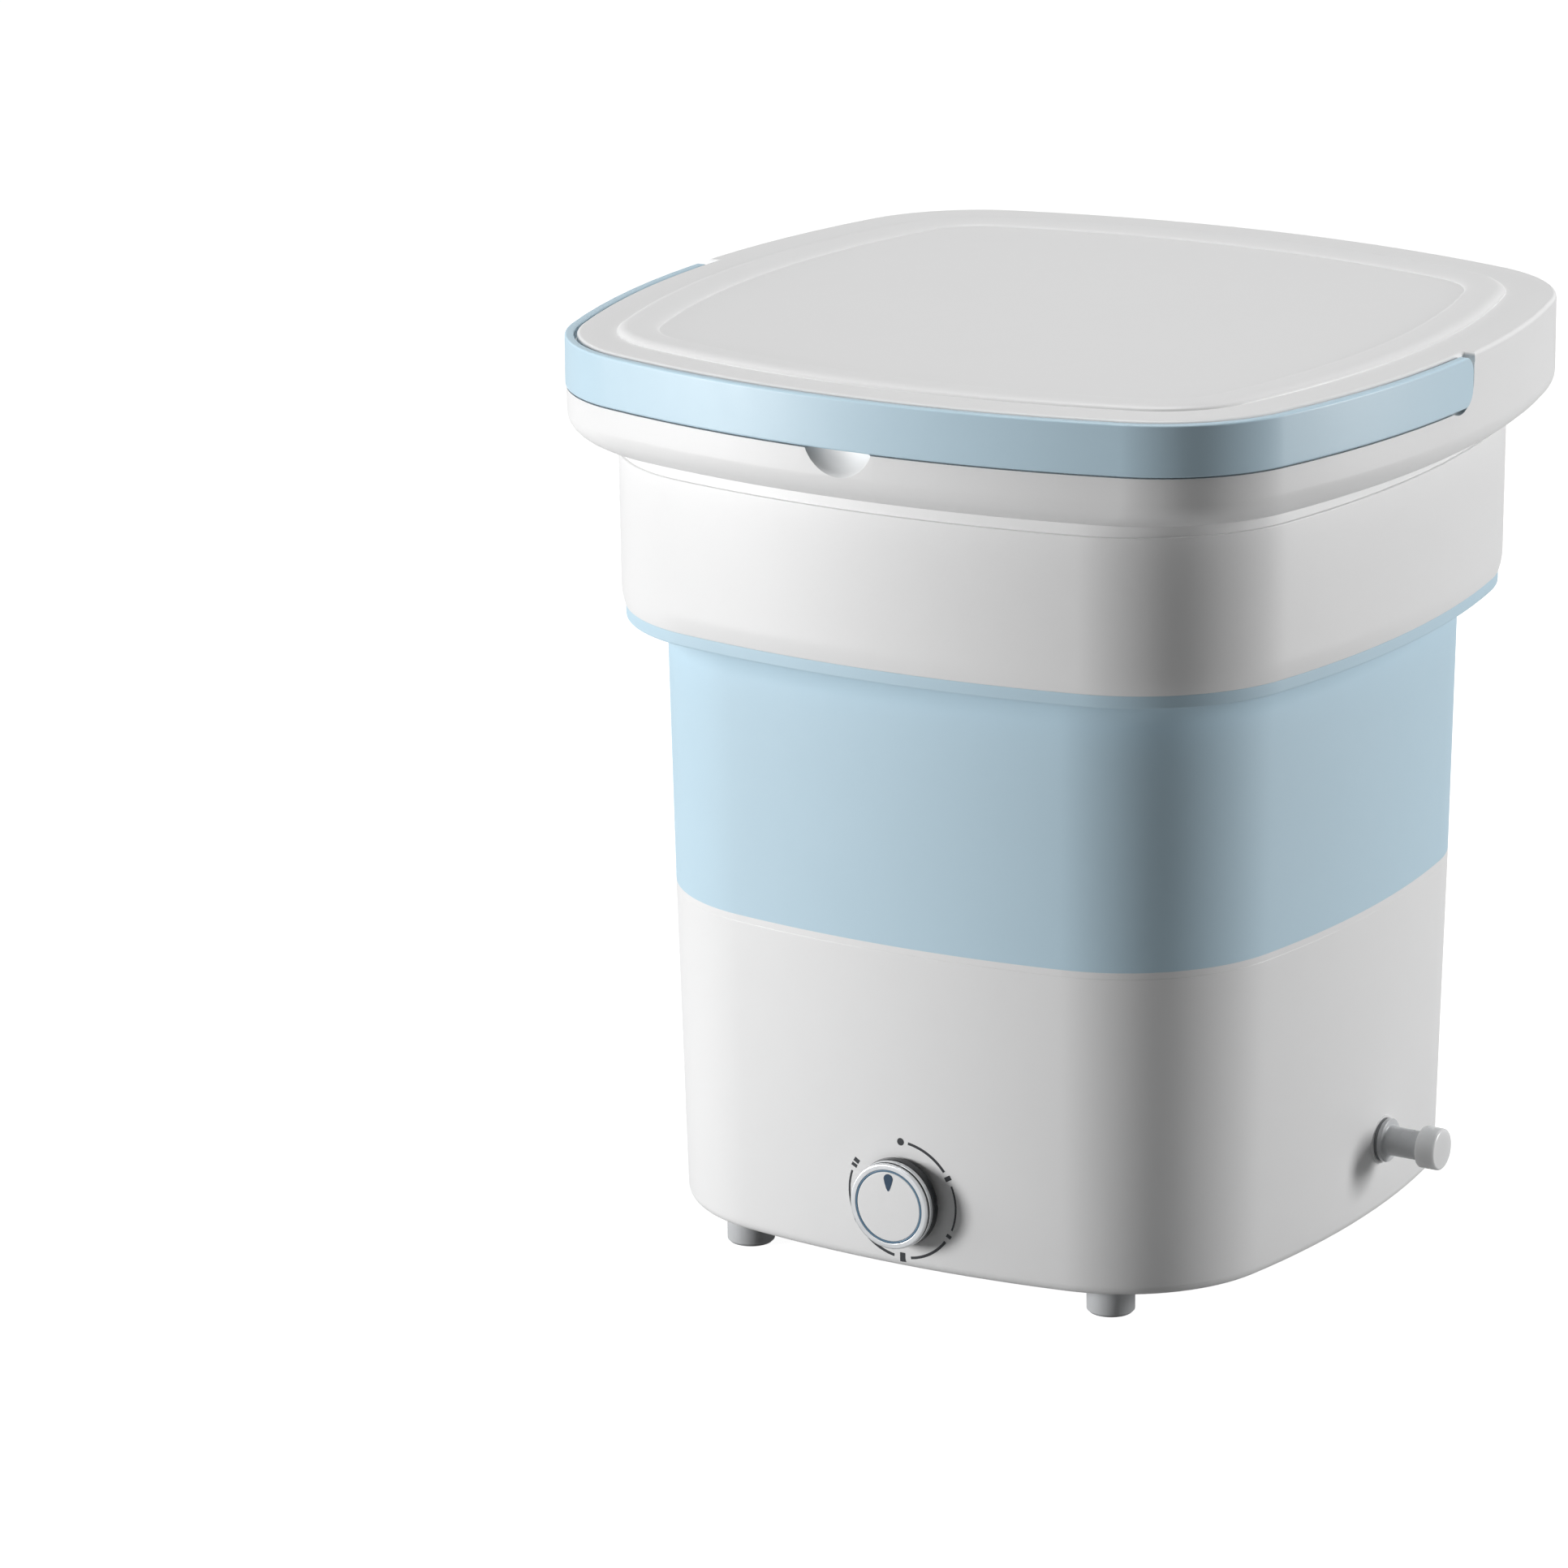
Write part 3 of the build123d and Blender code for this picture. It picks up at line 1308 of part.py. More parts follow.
# Sleeve: a soft wall from the pan's flange up to a rounded lip, with a bead inside its foot
lip_outline = grown(shell_outline, -edge_inset - lip_edge - shell_draft)
sleeve_top_outline = grown(base_outline, sleeve_swell)
lip_base = shell_bottom - lip_height
sleeve_outer = [(base_top, base_outline), (lip_base, sleeve_top_outline)]
sleeve_inner = [
    (base_top - cut_past, grown(base_outline, -sleeve_wall)),
    (lip_base, grown(sleeve_top_outline, -sleeve_wall)),
]
for step in range(1, lip_steps + 1):
    angle = radians(90 * step / lip_steps)
    level = lip_base + lip_height * sin(angle)
    lip_here = between(sleeve_top_outline, lip_outline, 1 - cos(angle))
    sleeve_outer.append((level, lip_here))
    inner_level = lip_base + (lip_height + cut_past) * sin(angle)
    sleeve_inner.append((inner_level, grown(lip_here, -2 * sleeve_wall)))
with BuildPart() as sleeve:
    BowedBody(sleeve_outer)
    BowedBody(sleeve_inner, mode=Mode.SUBTRACT)
    with BuildSketch(Plane.XY.offset(base_top)):
        BowedFace(base_outline)
        BowedFace(grown(base_outline, -bead_width), mode=Mode.SUBTRACT)
    extrude(amount=bead_height)
sleeve.part.label = "sleeve"
export_step(sleeve.part, "parts/sleeve.step")

# Upper shell: a wall with a rounded lower edge and an inward flange that the sleeve's lip meets
shell_outer = []
for step in range(edge_steps + 1):
    rise = step / edge_steps
    edge_here = grown(shell_outline, -shell_draft - edge_inset * (1 - rise) ** 2)
    shell_outer.append((shell_bottom + edge_rise * rise, edge_here))
shell_outer.append((shell_top, shell_outline))
with BuildPart() as upper_shell:
    BowedBody(shell_outer)
    BowedBody(
        [
            (shell_bottom + shell_flange_thick, grown(shell_outline, -shell_draft - shell_wall)),
            (shell_top + cut_past, grown(shell_outline, -shell_wall)),
        ],
        mode=Mode.SUBTRACT,
    )
    with BuildSketch(Plane.XY.offset(shell_bottom - cut_past)):
        BowedFace(grown(shell_outline, -shell_draft - shell_flange_width))
    extrude(amount=shell_flange_thick + 2 * cut_past, mode=Mode.SUBTRACT)
upper_shell.part.label = "upper_shell"
export_step(upper_shell.part, "parts/upper_shell.step")

# Collar offsets, measured from its own outline: the handle's faces, the recess behind it and the rim inside
handle_outer = handle_proud
handle_inner = handle_proud - handle_thick
recess_offset = handle_inner - handle_back_gap
rim_offset = recess_offset - collar_wall
lid_front_offset = handle_inner - lid_side_gap
tail_centre = handle_tail - handle_tail_round
height_centre = handle_height / 2 - handle_tail_round
tail_clear = sqrt(tail_centre**2 + height_centre**2) + handle_tail_round + handle_gap
neck_outline = grown(shell_outline, -neck_inset)
neck_top = shell_top + neck_height
round_top = neck_top + collar_round_height
collar_outer = [(shell_top, neck_outline), (neck_top, neck_outline)]
neck_inner = grown(neck_outline, -collar_wall)
collar_hollow = [(shell_top - cut_past, neck_inner), (neck_top + collar_wall, neck_inner)]
for step in range(1, round_steps + 1):
    angle = radians(90 * step / round_steps)
    swelling = between(neck_outline, collar_outline, sin(angle))
    collar_outer.append((round_top - collar_round_height * cos(angle), swelling))
    hollow_level = round_top - (collar_round_height - collar_wall) * cos(angle)
    collar_hollow.append((hollow_level, grown(swelling, -collar_wall)))
collar_outer.append((lid_seat, collar_outline))
collar_hollow.append((recess_floor - recess_ledge, grown(collar_outline, -collar_wall)))

# Room for the handle: a band round the front half, and a circle about the pivot for the handle's tail
with BuildPart() as handle_room:
    with BuildSketch(Plane.XY.offset(pivot_z - tail_clear - cut_past)):
        BowedFace(grown(collar_outline, collar_wall))
        BowedFace(grown(collar_outline, recess_offset), mode=Mode.SUBTRACT)
    extrude(amount=2 * (tail_clear + cut_past))
    with BuildSketch(Plane.YZ):
        with BuildLine():
            Polyline(
                (-collar_half - handle_tail, recess_floor),
                (0, recess_floor),
                (0, pivot_z),
                (tail_clear, pivot_z),
                (tail_clear, collar_top + handle_tail),
                (-collar_half - handle_tail, collar_top + handle_tail),
                close=True,
            )
        make_face()
        with Locations((0, pivot_z)):
            Circle(tail_clear)
    extrude(amount=collar_half + handle_tail, both=True, mode=Mode.INTERSECT)

# Room for a fingertip under the handle: the lower part of a ball that dips into the collar
notch_rise = (notch_width**2 / 4 - notch_drop**2) / (2 * notch_drop)
notch_circle = notch_drop + notch_rise
notch_ball = (notch_circle**2 + notch_depth**2) / (2 * notch_depth)
with BuildPart() as finger_room:
    with Locations((0, -collar_half + notch_depth - notch_ball, recess_floor + notch_rise)):
        Sphere(notch_ball)
    split(bisect_by=Plane.XY.offset(recess_floor), keep=Keep.BOTTOM)

# Collar
with BuildPart() as collar:
    BowedBody(collar_outer)
    BowedBody(collar_hollow, mode=Mode.SUBTRACT)
    with BuildSketch(Plane.XY.offset(recess_floor - recess_ledge - cut_past)):
        BowedFace(grown(collar_outline, rim_offset))
    extrude(amount=lid_seat - recess_floor + recess_ledge + 2 * cut_past, mode=Mode.SUBTRACT)
    skirt_outline = grown(shell_outline, -shell_wall - skirt_gap)
    with BuildSketch(Plane.XY.offset(shell_top - skirt_drop)):
        BowedFace(skirt_outline)
        BowedFace(grown(skirt_outline, -skirt_thick), mode=Mode.SUBTRACT)
    extrude(amount=skirt_drop + neck_height)
    backing_bottom = recess_floor - notch_drop - collar_wall
    with BuildSketch(Plane.XY.offset(backing_bottom)):
        with Locations((0, -collar_half + (notch_backing + collar_wall - fixed_fit) / 2)):
            Rectangle(notch_width + 2 * notch_backing_side, notch_backing - collar_wall + fixed_fit)
    extrude(amount=recess_floor + notch_backing_top - backing_bottom)
    add(handle_room.part, mode=Mode.SUBTRACT)
    add(finger_room.part, mode=Mode.SUBTRACT)
    Bar(
        (-collar_half, 0, pivot_z),
        (1, 0, 0),
        pin_radius + pin_seat_fit,
        2 * collar_half,
        mode=Mode.SUBTRACT,
    )
collar.part.label = "collar"
export_step(collar.part, "parts/collar.step")

# Handle pivots, pressed into the collar's rim
pin_start = collar_half + rim_offset + pin_inset
pin_length = handle_inner + pin_bite - rim_offset - pin_inset
for pin_name, side in (("handle_pin_left", -1), ("handle_pin_right", 1)):
    with BuildPart() as handle_pin:
        Bar((side * pin_start, 0, pivot_z), (side, 0, 0), pin_radius, pin_length)
    handle_pin.part.label = pin_name
    export_step(handle_pin.part, f"parts/{pin_name}.step")

# Handle: a band round the front half of the collar, from one pivot to the other
handle_bottom = pivot_z - handle_height / 2
with BuildPart() as handle:
    with BuildLine():
        BowedLoop(collar_outline)
    with BuildSketch(Plane.XZ):
        with Locations((collar_half + (handle_outer + handle_inner) / 2, pivot_z)):
            RectangleRounded(handle_thick, handle_height, handle_edge_round)
    sweep()
    with BuildSketch(Plane.YZ):
        with BuildLine():
            Polyline(
                (-collar_half - handle_tail, handle_bottom - handle_gap),
                (-collar_half - handle_tail, handle_bottom + handle_height + handle_gap),
                (0, handle_bottom + handle_height + handle_gap),
                (0, handle_bottom - handle_gap),
                close=True,
            )
        make_face()
        with Locations((0, pivot_z)):
            RectangleRounded(2 * handle_tail, handle_height, handle_tail_round)
    extrude(amount=collar_half + handle_tail, both=True, mode=Mode.INTERSECT)
    for side in (-1, 1):
        Bar(
            (side * (collar_half + handle_inner - handle_back_gap), 0, pivot_z),
            (side, 0, 0),
            pin_radius + pin_run_fit,
            handle_back_gap + pin_bite + small_gap,
            mode=Mode.SUBTRACT,
        )
handle.part.label = "handle"
export_step(handle.part, "parts/handle.step")

# Lid: a plate inside the handle in front and flush with the collar behind, with a ridge round a dished middle
lid_outline = grown(collar_outline, lid_front_offset)
lid_skirt_outline = grown(collar_outline, rim_offset - small_gap - lid_gasket_proud)
panel_top = collar_top + lid_crown - dish_depth
rear_start = tail_clear + lid_rear_gap
ridge_foot = grown(collar_outline, ridge_width - ridge_inset)
ridge_outer = [(collar_top - lid_thick / 2, ridge_foot)]
dish = []
for step in range(ridge_steps + 1):
    angle = radians(90 * step / ridge_steps)
    ridge_here = grown(collar_outline, ridge_width * cos(angle) - ridge_inset)
    ridge_outer.append((collar_top + lid_crown * sin(angle), ridge_here))
    dish_here = grown(collar_outline, -ridge_inset - ridge_land - dish_slope * (1 - sin(angle)))
    dish.append((panel_top + dish_depth * (1 - cos(angle)), dish_here))
dish.append((collar_top + lid_crown + cut_past, grown(collar_outline, -ridge_inset - ridge_land)))
with BuildPart() as lid:
    with BuildSketch(Plane.XY.offset(lid_seat)):
        with BuildSketch(mode=Mode.PRIVATE) as rear_plate:
            BowedFace(collar_outline)
            with Locations((0, rear_start - collar_half)):
                Rectangle(3 * collar_half, 2 * collar_half, mode=Mode.SUBTRACT)
        BowedFace(lid_outline)
        add(rear_plate.sketch)
    extrude(amount=lid_thick)
    fillet(lid.faces().sort_by(Axis.Z)[-1].outer_wire().edges(), lid_edge_round)
    BowedBody(ridge_outer)
    BowedBody(dish, mode=Mode.SUBTRACT)
    with BuildSketch(Plane.XY.offset(lid_seat - lid_skirt_drop)):
        BowedFace(lid_skirt_outline)
    extrude(amount=lid_skirt_drop + cut_past)
    with BuildSketch(Plane.XY.offset(lid_seat - lid_skirt_drop)):
        BowedFace(grown(lid_skirt_outline, -lid_skirt_thick))
    extrude(amount=lid_skirt_drop + lid_pocket_depth, mode=Mode.SUBTRACT)
lid.part.label = "lid"
export_step(lid.part, "parts/lid.step")

# Soft gasket round the lid's skirt
with BuildPart() as lid_gasket:
    with BuildSketch(Plane.XY.offset(lid_seat - lid_skirt_drop + cut_past)):
        BowedFace(grown(collar_outline, rim_offset - small_gap))
        BowedFace(lid_skirt_outline, mode=Mode.SUBTRACT)
    extrude(amount=lid_gasket_height)
lid_gasket.part.label = "lid_gasket"
export_step(lid_gasket.part, "parts/lid_gasket.step")
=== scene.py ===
from math import asin, cos, pi, radians, sin, sqrt

import bmesh
import bpy
from mathutils import Matrix, Vector


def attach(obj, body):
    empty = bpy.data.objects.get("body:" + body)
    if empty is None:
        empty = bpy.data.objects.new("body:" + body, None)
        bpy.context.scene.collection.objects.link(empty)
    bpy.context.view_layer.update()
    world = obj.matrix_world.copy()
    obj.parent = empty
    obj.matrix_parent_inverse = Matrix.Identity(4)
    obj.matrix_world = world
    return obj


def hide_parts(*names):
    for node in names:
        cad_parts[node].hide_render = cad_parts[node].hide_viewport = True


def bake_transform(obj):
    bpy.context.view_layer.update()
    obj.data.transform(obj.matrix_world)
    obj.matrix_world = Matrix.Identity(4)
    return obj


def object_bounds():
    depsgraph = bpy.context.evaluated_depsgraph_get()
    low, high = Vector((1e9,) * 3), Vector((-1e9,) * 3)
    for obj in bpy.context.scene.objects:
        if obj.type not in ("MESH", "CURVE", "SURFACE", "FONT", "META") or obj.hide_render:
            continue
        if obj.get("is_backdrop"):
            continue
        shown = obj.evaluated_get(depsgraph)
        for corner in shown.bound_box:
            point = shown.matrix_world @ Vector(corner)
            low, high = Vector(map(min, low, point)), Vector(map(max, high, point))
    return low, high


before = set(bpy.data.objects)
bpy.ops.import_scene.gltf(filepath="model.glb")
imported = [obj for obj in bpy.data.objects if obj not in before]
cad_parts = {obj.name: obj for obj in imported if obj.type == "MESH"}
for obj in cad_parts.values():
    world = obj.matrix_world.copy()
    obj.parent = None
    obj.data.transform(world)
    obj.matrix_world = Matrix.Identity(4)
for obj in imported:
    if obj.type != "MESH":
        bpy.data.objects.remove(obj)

scene = bpy.context.scene
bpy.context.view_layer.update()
mm = 0.001
print("frame loaded,", len(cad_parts), "nodes")

# Camera where the photograph was taken from
photoCamera = {
    "place": (1.40415, -2.47735, 0.97932),
    "right": (0.852080, 0.523358, -0.007531),
    "up": (-0.137616, 0.237889, 0.961494),
    "back": (0.504997, -0.818233, 0.274723),
    "lens": 179.4, "sensor": 36.0, "clipEnd": 40.0,
}
cameraData = bpy.data.cameras.new("photoCamera")
cameraData.lens = photoCamera["lens"]
cameraData.sensor_width = photoCamera["sensor"]
cameraData.clip_end = photoCamera["clipEnd"]
cameraObject = bpy.data.objects.new("photoCamera", cameraData)
scene.collection.objects.link(cameraObject)
turned = Matrix([photoCamera["right"], photoCamera["up"], photoCamera["back"]]).transposed()
cameraObject.matrix_world = Matrix.Translation(photoCamera["place"]) @ turned.to_4x4()
scene.camera = cameraObject
scene.view_settings.view_transform = "Standard"
print("camera placed")


# Material helpers
def linearColour(hexColour):
    channels = [int(hexColour[i:i + 2], 16) / 255 for i in (0, 2, 4)]
    return [c / 12.92 if c <= 0.04045 else ((c + 0.055) / 1.055) ** 2.4 for c in channels] + [1.0]


def addNode(tree, kind, sockets=None, **settings):
    made = tree.nodes.new("ShaderNode" + kind)
    for key, value in settings.items():
        setattr(made, key, value)
    for key, value in (sockets or {}).items():
        if isinstance(value, bpy.types.NodeSocket):
            tree.links.new(value, made.inputs[key])
        else:
            made.inputs[key].default_value = value
    return made


def emptyMaterial(name):
    material = bpy.data.materials.new(name)
    material.use_nodes = True
    material.node_tree.nodes.clear()
    return material


# One recipe for moulded and turned surfaces: a faint mottle in the colour, an uneven gloss and a fine grain
def surface(name, colour, shade=0.97, mottleMm=60.0, rough=(0.35, 0.42), roughMm=9.0,
            grainMm=0.6, grainHeightMm=0.004, metallic=0.0, ior=1.5, milky=0.0, depthMm=4.0):
    material = emptyMaterial(name)
    tree = material.node_tree
    place = addNode(tree, "TexCoord").outputs["Object"]
    mottle = addNode(tree, "TexNoise", {"Vector": place, "Scale": 1 / (mottleMm * mm), "Detail": 3.0})
    full = linearColour(colour)
    dull = [c * shade for c in full[:3]] + [1.0]
    tint = addNode(tree, "Mix", {0: mottle.outputs["Fac"], 6: dull, 7: full}, data_type="RGBA")
    patches = addNode(tree, "TexNoise", {"Vector": place, "Scale": 1 / (roughMm * mm), "Detail": 4.0})
    gloss = addNode(tree, "MapRange", {0: patches.outputs["Fac"], 1: 0.3, 2: 0.7, 3: rough[0], 4: rough[1]})
    grain = addNode(tree, "TexNoise", {"Vector": place, "Scale": 1 / (grainMm * mm), "Detail": 2.0})
    bump = addNode(tree, "Bump", {"Height": grain.outputs["Fac"], "Distance": grainHeightMm * mm, "Strength": 1.0})
    shader = addNode(tree, "BsdfPrincipled", {
        "Base Color": tint.outputs[2], "Roughness": gloss.outputs[0], "Normal": bump.outputs[0],
        "Metallic": metallic, "IOR": ior, "Subsurface Weight": milky, "Subsurface Scale": depthMm * mm,
        "Subsurface Radius": (1, 1, 1),
    })
    addNode(tree, "OutputMaterial", {"Surface": shader.outputs[0]})
    return material


# Injection-moulded polypropylene: waxy white with a soft broad gloss from a lightly blasted tool
whitePolypropylene = surface("whiteMouldedPolypropylene", "F2F2F2", shade=0.985, rough=(0.36, 0.42))
# The same polymer in pale blue: the handle and the clip
bluePolypropylene = surface("blueMouldedPolypropylene", "C6E0EE", shade=0.98, rough=(0.34, 0.40))
# Moulded thermoplastic rubber: matt, with a soft even skin that takes the light without a sharp highlight
blueElastomer = surface("blueMouldedElastomer", "C4DEEC", shade=0.975, mottleMm=45.0, rough=(0.52, 0.60),
                        grainMm=0.9, grainHeightMm=0.01, ior=1.45)
# Light grey moulded rubber of the feet: matt, with a dusty unevenness
footRubber = surface("lightGreyMouldedRubber", "C6C8CA", shade=0.93, mottleMm=7.0, rough=(0.55, 0.68),
                     grainMm=0.5, grainHeightMm=0.012)
# Moulded rubber of hose and seals: a darker matt grey, slightly dusty
greyRubber = surface("greyMouldedRubber", "8A8C8F", shade=0.85, mottleMm=12.0, rough=(0.6, 0.75),
                     grainHeightMm=0.012)
# Moulded silicone: milky and matt
whiteSilicone = surface("whiteMouldedSilicone", "DADCDD", shade=0.97, rough=(0.5, 0.6), ior=1.41)
# Moulded ABS in light grey: satin
greyAbs = surface("greyMouldedAbs", "CFD1D3", shade=0.96, mottleMm=20.0, rough=(0.22, 0.30))
# Soft milky polyethylene of the drain cap: waxy, with light that spreads inside it and a clear broad highlight
milkyPolyethylene = surface("milkyMouldedPolyethylene", "F6F7F8", shade=0.98, mottleMm=6.0, rough=(0.16, 0.22),
                            grainHeightMm=0.002, ior=1.52, milky=0.7)
# Satin chrome on moulded ABS: a pale bright metal whose haze spreads the lamps over its faces
satinChrome = surface("satinChromePlatedAbs", "E2E4E6", shade=0.97, rough=(0.30, 0.36), grainHeightMm=0.001,
                      metallic=1.0)
# Polished ABS, nearly black, with clean reflections; on the knob its black is painted shade and painted reflection: it
# stands for the shade in the groove and gap and the dark that the chrome side mirrors
paintedShadeBlack = surface("paintedShadePolishedAbs", "2A2D31", shade=0.9, rough=(0.16, 0.22), grainHeightMm=0.001)
# Blue-grey and navy moulded inlays: satin
blueInlay = surface("blueMouldedInlay", "5D7F99", shade=0.95, mottleMm=10.0, rough=(0.3, 0.36))
navyInlay = surface("navyMouldedInlay", "2F4A63", shade=0.92, mottleMm=8.0, rough=(0.3, 0.36))
# Pad-printed ink: matt, dark and slightly uneven
printedInk = surface("padPrintedInk", "2B2E33", shade=0.8, mottleMm=3.0, rough=(0.5, 0.6), grainHeightMm=0.002)
# Zinc-plated steel: pale and satin
zincSteel = surface("zincPlatedSteel", "A9ACB0", shade=0.85, mottleMm=8.0, rough=(0.28, 0.4), metallic=1.0)
# Deep-drawn steel of the motor's can: greyer, with a wider haze
drawnSteel = surface("drawnSteel", "94979B", shade=0.85, mottleMm=15.0, rough=(0.3, 0.42), metallic=1.0)
# Glass-filled nylon: black and dry
blackNylon = surface("blackGlassFilledNylon", "1E1F21", shade=0.8, mottleMm=10.0, rough=(0.45, 0.55))
# Natural nylon of the connectors: creamy and satin
naturalNylon = surface("naturalMouldedNylon", "E4DFCC", shade=0.96, mottleMm=8.0, rough=(0.35, 0.45))
# Moulded belt rubber: black, fabric dusted
beltRubber = surface("blackMouldedBeltRubber", "1B1B1C", shade=0.75, mottleMm=6.0, rough=(0.7, 0.8))
# Solder mask over glass laminate: glossy green
solderMask = surface("greenSolderMask", "1F6B43", shade=0.9, mottleMm=6.0, rough=(0.18, 0.26), grainHeightMm=0.002)
# Extruded PVC sheath: satin black
pvcSheath = surface("blackExtrudedPvc", "242527", shade=0.9, mottleMm=20.0, rough=(0.4, 0.48))
print("materials made")

nodeFinishes = {
    whitePolypropylene: ["tub_pan", "bottom_cover", "pulsator", "basket_lower", "basket_floor", "basket_upper",
                         "drain_strainer"],
    bluePolypropylene: ["basket_clip"],
    greyRubber: ["drain_hose", "drain_gasket", "shaft_seal"],
    whiteSilicone: ["lid_gasket"],
    greyAbs: ["drain_nut"],
    zincSteel: ["drive_shaft", "motor_shaft", "knob_shaft", "cover_screws", "bracket_screws", "board_screws",
                "motor_screws", "pulsator_screw", "lower_bearing", "upper_bearing", "hose_clamps", "pulley_nut",
                "switch_nut", "inlet_nut", "motor_bracket", "handle_pin_left", "handle_pin_right"],
    drawnSteel: ["motor"],
    blackNylon: ["rotary_switch", "power_inlet", "motor_pulley", "drive_pulley", "board_components"],
    naturalNylon: ["board_connectors"],
    beltRubber: ["drive_belt"],
    solderMask: ["control_board"],
}
for material, nodeNames in nodeFinishes.items():
    for nodeName in nodeNames:
        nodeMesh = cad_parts[nodeName].data
        nodeMesh.materials.clear()
        nodeMesh.materials.append(material)
print("carried-over nodes finished")

# Closed outlines with bowed sides, each a half width, a corner arc and a side arc
baseOutline = (130.0, 67.0, 423.0)
shellOutline = (147.5, 71.0, 423.0)
collarOutline = (164.5, 62.0, 382.0)
ringSteps = {"side": 14, "corner": 18}


def grown(outline, offset):
    return tuple(size + offset for size in outline)


def between(first, last, share):
    return tuple(a + (b - a) * share for a, b in zip(first, last))


def quarterTurn(steps):
    return [radians(90 * step / steps) for step in range(steps + 1)]


# One ring of an outline: a point spun along the side and the corner, and that quarter turned round
def ringAt(bm, outline, level):
    half, corner, bow = (size * mm for size in outline)
    reach = bow - corner
    back = bow - half
    centre = (sqrt(2 * reach ** 2 - back ** 2) - back) / 2
    slant = asin(centre / reach)
    before = set(bm.verts)
    start = bm.verts.new((half - bow * (1 - cos(slant)), -bow * sin(slant), level * mm))
    side = bmesh.ops.spin(bm, geom=[start], cent=(half - bow, 0, level * mm), axis=(0, 0, 1),
                          angle=2 * slant, steps=ringSteps["side"])
    ends = [g for g in side["geom_last"] if isinstance(g, bmesh.types.BMVert)]
    bmesh.ops.spin(bm, geom=ends, cent=(centre, centre, level * mm), axis=(0, 0, 1),
                   angle=pi / 2 - 2 * slant, steps=ringSteps["corner"])
    quarter = [v for v in bm.verts if v not in before]
    lines = list({e for v in quarter for e in v.link_edges})
    bmesh.ops.spin(bm, geom=quarter + lines, cent=(0, 0, level * mm), axis=(0, 0, 1),
                   angle=1.5 * pi, steps=3, use_duplicate=True)
    ring = [v for v in bm.verts if v not in before]
    bmesh.ops.remove_doubles(bm, verts=ring, dist=0.005 * mm)
    ring = [v for v in bm.verts if v not in before]
    return list({e for v in ring for e in v.link_edges})


# A wall through rings; a section that comes back to its start gives a closed body
def loft(stations, closed=True):
    bm = bmesh.new()
    # bridged as an evenly spaced stack, so that rings at one height still pair up, then set to their heights
    rings = [ringAt(bm, outline, 30.0 * place) for place, (outline, level) in enumerate(stations)]
    pairs = list(zip(rings, rings[1:]))
    if closed:
        pairs.append((rings[-1], rings[0]))
    for first, last in pairs:
        bmesh.ops.bridge_loops(bm, edges=first + last)
    for ring, (outline, level) in zip(rings, stations):
        for v in {v for edge in ring for v in edge.verts}:
            v.co.z = level * mm
    return bm, rings


# A solid plate with an outline's shape
def plate(outline, bottom, top):
    body, ends = loft([(outline, bottom), (outline, top)], closed=False)
    for ring in ends:
        bmesh.ops.contextual_create(body, geom=ring)
    return body


# A plain block, given by its size and its middle
def block(size, middle):
    body = bmesh.new()
    bmesh.ops.create_cube(body, size=1.0)
    bmesh.ops.scale(body, vec=[length * mm for length in size], verts=body.verts)
    bmesh.ops.translate(body, vec=[place * mm for place in middle], verts=body.verts)
    return body


def soften(bm, edges, size, steps=4):
    bm.normal_update()
    bmesh.ops.bevel(bm, geom=edges, offset=size * mm, offset_type="OFFSET", segments=steps,
                    profile=0.5, affect="EDGES", material=-1)


# Flat faces pulled along a vector into a solid
def pushed(bm, vec):
    moved = bmesh.ops.extrude_face_region(bm, geom=bm.faces[:])
    bmesh.ops.translate(bm, vec=vec, verts=[g for g in moved["geom"] if isinstance(g, bmesh.types.BMVert)])
    return bm


# A turned body: points of (radius, height, softening) round Z, closed where the section is
def turnedBody(section, steps=96, closed=True):
    bm = bmesh.new()
    points = [bm.verts.new((radius * mm, 0, height * mm)) for radius, height, soft in section]
    for first, last in zip(points, points[1:]):
        bm.edges.new((first, last))
    if closed:
        bm.edges.new((points[-1], points[0]))
    for point, (radius, height, soft) in zip(points, section):
        if soft:
            bmesh.ops.bevel(bm, geom=[point], offset=soft * mm, offset_type="OFFSET", segments=5,
                            profile=0.5, affect="VERTICES", material=-1)
    bmesh.ops.spin(bm, geom=bm.verts[:] + bm.edges[:], cent=(0, 0, 0), axis=(0, 0, 1),
                   angle=2 * pi, steps=steps, use_merge=True)
    return bm


def turnedDisc(radius, low, high, soft, steps):
    section = ((0, low, 0), (radius, low, 0), (radius, high, soft), (0, high, 0))
    return turnedBody(section, steps, closed=False)


facing = {
    "up": Matrix.Identity(3),
    "front": Matrix(((1, 0, 0), (0, 0, -1), (0, 1, 0))),
    "right": Matrix(((0, 0, 1), (1, 0, 0), (0, 1, 0))),
    "rear": Matrix(((-1, 0, 0), (0, 0, 1), (0, 1, 0))),
}


def placed(bm, way, origin):
    matrix = Matrix.Translation([size * mm for size in origin]) @ facing[way].to_4x4()
    bmesh.ops.transform(bm, matrix=matrix, verts=bm.verts)
    return bm


def cleaned(bm):
    bmesh.ops.remove_doubles(bm, verts=bm.verts, dist=0.002 * mm)
    bmesh.ops.dissolve_degenerate(bm, edges=bm.edges, dist=0.001 * mm)
    bmesh.ops.recalc_face_normals(bm, faces=bm.faces)
    return bm


